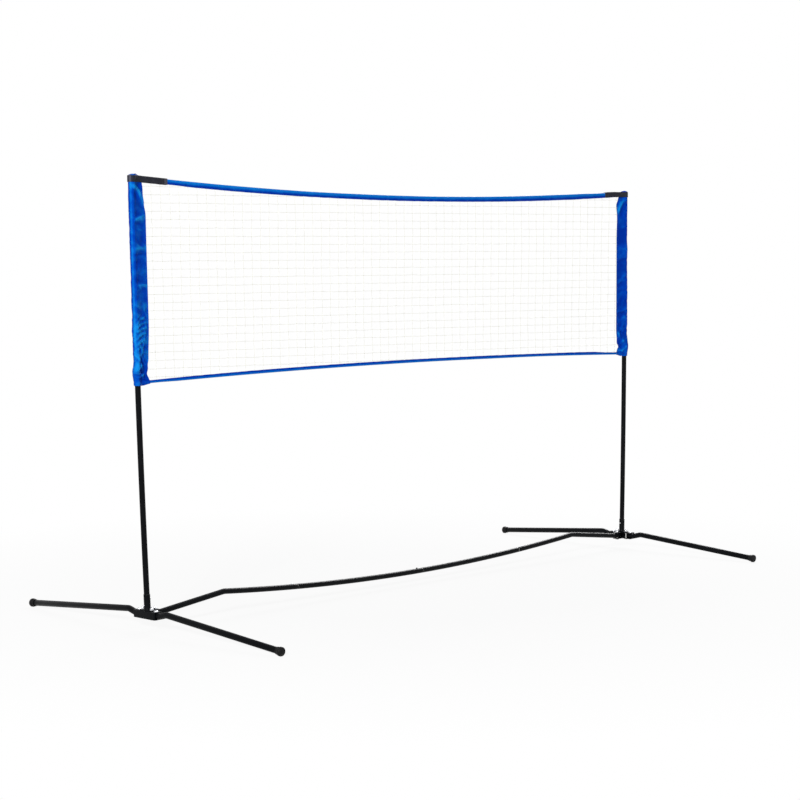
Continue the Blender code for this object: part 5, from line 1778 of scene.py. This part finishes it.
def spring(tag, under, floor, flange, matrix):
    """A leaf bent back on itself, whose upper side carries the button's flange."""
    bend = (under - floor) / 4
    line = [Vector((SPRING_TOE, 0, floor)), Vector((-SPRING_LENGTH, 0, floor))]
    line += [
        Vector((-SPRING_LENGTH - bend / 2 * s, 0, floor + bend / 2 * (1 - c)))
        for s, c in arc(1, 8, 8, 180)
    ]
    upper = (
        (-SPRING_LENGTH, floor + bend), (-flange - 0.001, under - 0.0003), (-flange, under),
        (SPRING_TOE, under),
    )
    line += [Vector((x, 0, z)) for x, z in upper]
    half = SPRING_WIDTH / 2
    cut = half - 0.0001
    section = [
        (-half, -0.6), (-cut, -1), (cut, -1), (half, -0.6), (half, 0.6), (cut, 1), (-cut, 1), (-half, 0.6),
    ]
    rings = []
    for index, spot in enumerate(line):
        ahead = heading(line, index)
        wall = Vector((-ahead.z, 0, ahead.x)) * SPRING_WALL / 2
        rings.append([spot + wall * share + Vector((0, y, 0)) for y, share in section])
    place = (matrix, "stand", [f"{tag}_spring"], "zinc_steel")
    return piece(f"{tag}_leaf", capped(rings), [STEEL], *place, sharp=40)


def button_set(tag, bore, stand_out, matrix):
    """A headed button and the bent leaf that pushes it out."""
    flat = bore * math.cos(math.radians(15))
    flange = BUTTON_FLANGE_OD / 2
    pin = BUTTON_OD / 2
    seat = math.sqrt(flat ** 2 - flange ** 2) - FIT
    low = seat - BUTTON_FLANGE_WALL
    edge = BUTTON_ROUND
    stations = [
        (low, 0.0), (low, flange - 0.0002), (low + 0.0002, flange), (seat - 0.0002, flange),
        (seat, flange - 0.0002), (seat, pin), (stand_out - edge, pin),
    ]
    stations += [(stand_out - edge + edge * s, pin - edge + edge * c) for s, c in arc(1, 7, 7)]
    stations.append((stand_out, 0.0))
    shell = turned(upright(0, 0, 0), stations, sides=36)
    button = f"{tag}_button"
    piece(f"{tag}_pin", shell, [CHROME], matrix, button, [button], "zinc_steel", sharp=45)
    under = low - FIT - SPRING_WALL / 2
    floor = -math.sqrt(flat ** 2 - (SPRING_WIDTH / 2) ** 2) + FIT + SPRING_WALL / 2
    leaf = spring(tag, under, floor, flange, matrix)
    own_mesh(leaf)


def buttons():
    bore = BAR_OD / 2 - 2 * BAR_WALL - FIT
    half_turn = Matrix.Rotation(math.pi, 4, "Z")
    outer = BAR_JOINT_X + BAR_BUTTON_INSET
    inner = BAR_MIDDLE_X - BAR_BUTTON_INSET
    for tag, x, turn in (
        ("bar_left", -outer, half_turn), ("bar_middle", inner, WORLD), ("bar_right", outer, WORLD),
    ):
        place = Matrix.Translation((x, 0, bar_height(x))) @ turn
        button_set(tag, bore, BAR_OD / 2 + BUTTON_PROUD, place)
    sideways = Matrix.Rotation(math.pi / 2, 4, "Y")
    for side, base in BASES.items():
        place = Matrix.Translation(post_point(MOUTH_Z - POST_BUTTON_INSET)) @ sideways
        button_set(f"post_{side}", POST_OD / 2 - POST_WALL, SOCKET_OD / 2 + BUTTON_PROUD, base @ place)


# Floor, light and background

def stage():
    """A pale floor that keeps a soft shadow, white surroundings and soft lights."""
    f = Finish("floor")
    white = f.remap(f.node("VectorMath", {0: f.place()}, output=1, operation="LENGTH"), *FLOOR_FADE)
    f.surface((0.62, 0.62, 0.62, 1.0), 0.9, Specular_IOR_Level=0.0)
    glow = f.node("Emission", {"Color": (1, 1, 1, 1), "Strength": 1.0})
    blend = f.node("MixShader", {0: f.times(f.seen(), white), 1: f.shader.outputs[0], 2: glow})
    f.put(f.tree.nodes["Material Output"], {"Surface": blend})
    points = [Vector((x, y, FLOOR_Z)) for x, y in rectangle(-FLOOR_SIZE, FLOOR_SIZE, FLOOR_SIZE)]
    flats = [tuple((p.x, p.y) for p in points)]
    build("floor", (points, [(0, 1, 2, 3)], flats, [0]), [f.made])
    world = bpy.data.worlds.new("studio")
    bpy.context.scene.world = world
    world.use_nodes = True
    w = Nodes(world.node_tree)
    level = w.remap(w.seen(), 0.0, 1.0, WORLD_LIGHT)
    w.put(w.tree.nodes["Background"], {"Color": (1, 1, 1, 1), "Strength": level})
    for name, place, target, width, power in LAMPS:
        data = bpy.data.lights.new(name, "AREA")
        data.shape = "SQUARE"
        data.size = width
        data.energy = power
        lamp = bpy.data.objects.new(name, data)
        lamp.location = place
        lamp.rotation_euler = (Vector(target) - Vector(place)).to_track_quat("-Z", "Y").to_euler()
        bpy.context.scene.collection.objects.link(lamp)
    bpy.context.scene.view_settings.view_transform = "Standard"


FLOOR_SIZE = 30.0
FLOOR_Z = -0.0006
# The floor turns white between two distances from the middle of the net: from, to, share there, share beyond
FLOOR_FADE = (0.8, 2.6, 0.87, 1.0)
WORLD_LIGHT = 0.13
# Name, place, target, width and power
LAMPS = (
    ("key", (-12.6, -8.0, 7.1), (0.0, 0.0, 0.9), 2.6, 2850.0),
    ("fill", (-1.0, -7.5, 3.6), (0.0, 0.0, 0.8), 2.0, 115.0),
    ("back", (6.2, 3.2, 4.4), (0.8, 0.0, 0.2), 4.0, 640.0),
)

PAINT = paint("black_paint_coat")
STEEL = metal("zinc_plate", (0.62, 0.62, 0.60), (0.45, 0.45, 0.44), 0.24, 8.0)
CHROME = metal(
    "bright_plate", (0.72, 0.73, 0.76), (0.50, 0.51, 0.54), 0.10, 3.0, (PLATE_BOTTOM_Z, PLATE_TOP_Z),
)
RUBBER = rubber("boot_rubber")
PLASTIC = plastic("plug_plastic")

BLUE = fabric("blue_weave", (0.0003, 0.053, 0.44), (0.0001, 0.018, 0.25), (0.0050, 0.195, 0.57))
THREAD = cordage("blue_thread", (0.001, 0.075, 0.48), (0.0005, 0.03, 0.25), 0.0008, 1.0)
BAND_THREAD = cordage("grey_thread", (0.05, 0.05, 0.06), (0.02, 0.02, 0.025), 0.0008, 1.0)
WEBBING = webbing("black_webbing_weave")
CORD = cordage("white_braid", (0.72, 0.72, 0.70), (0.30, 0.30, 0.29), 0.004, 1400.0)
TWINE = cordage("twine", (0.77, 0.77, 0.68), (0.49, 0.49, 0.42), 0.0032, 700.0)

camera()
for side in ("left", "right"):
    bracket(side)
    socket(side)
    for end, sign in ENDS[side]:
        leg(side, end, sign)
        pivot_rivet(f"pivot_rivet_{side}_{end}", 0.0, sign * LEG_PIVOT_Y, side)
        bolt(f"socket_bolt_{side}_{end}", 0.0, sign * SOCKET_BOLT_Y, FLANGE_TOP_Z + BOLT_GRIP, side)
        domed_nut(f"socket_nut_{side}_{end}", 0.0, sign * SOCKET_BOLT_Y, FLANGE_TOP_Z, side)
    bolt(f"bar_bolt_{side}", BAR_BOLT_X, 0.0, PLATE_TOP_Z + BOLT_GRIP, side)
    domed_nut(f"bar_nut_{side}", BAR_BOLT_X, 0.0, PLATE_TOP_Z, side)
    post(side)
    bar_end_tube(side)
    sleeve(side)
bar_mid_tubes()
buttons()
net_edges()
net()
for side in BASES:
    corner_band(side)
stage()
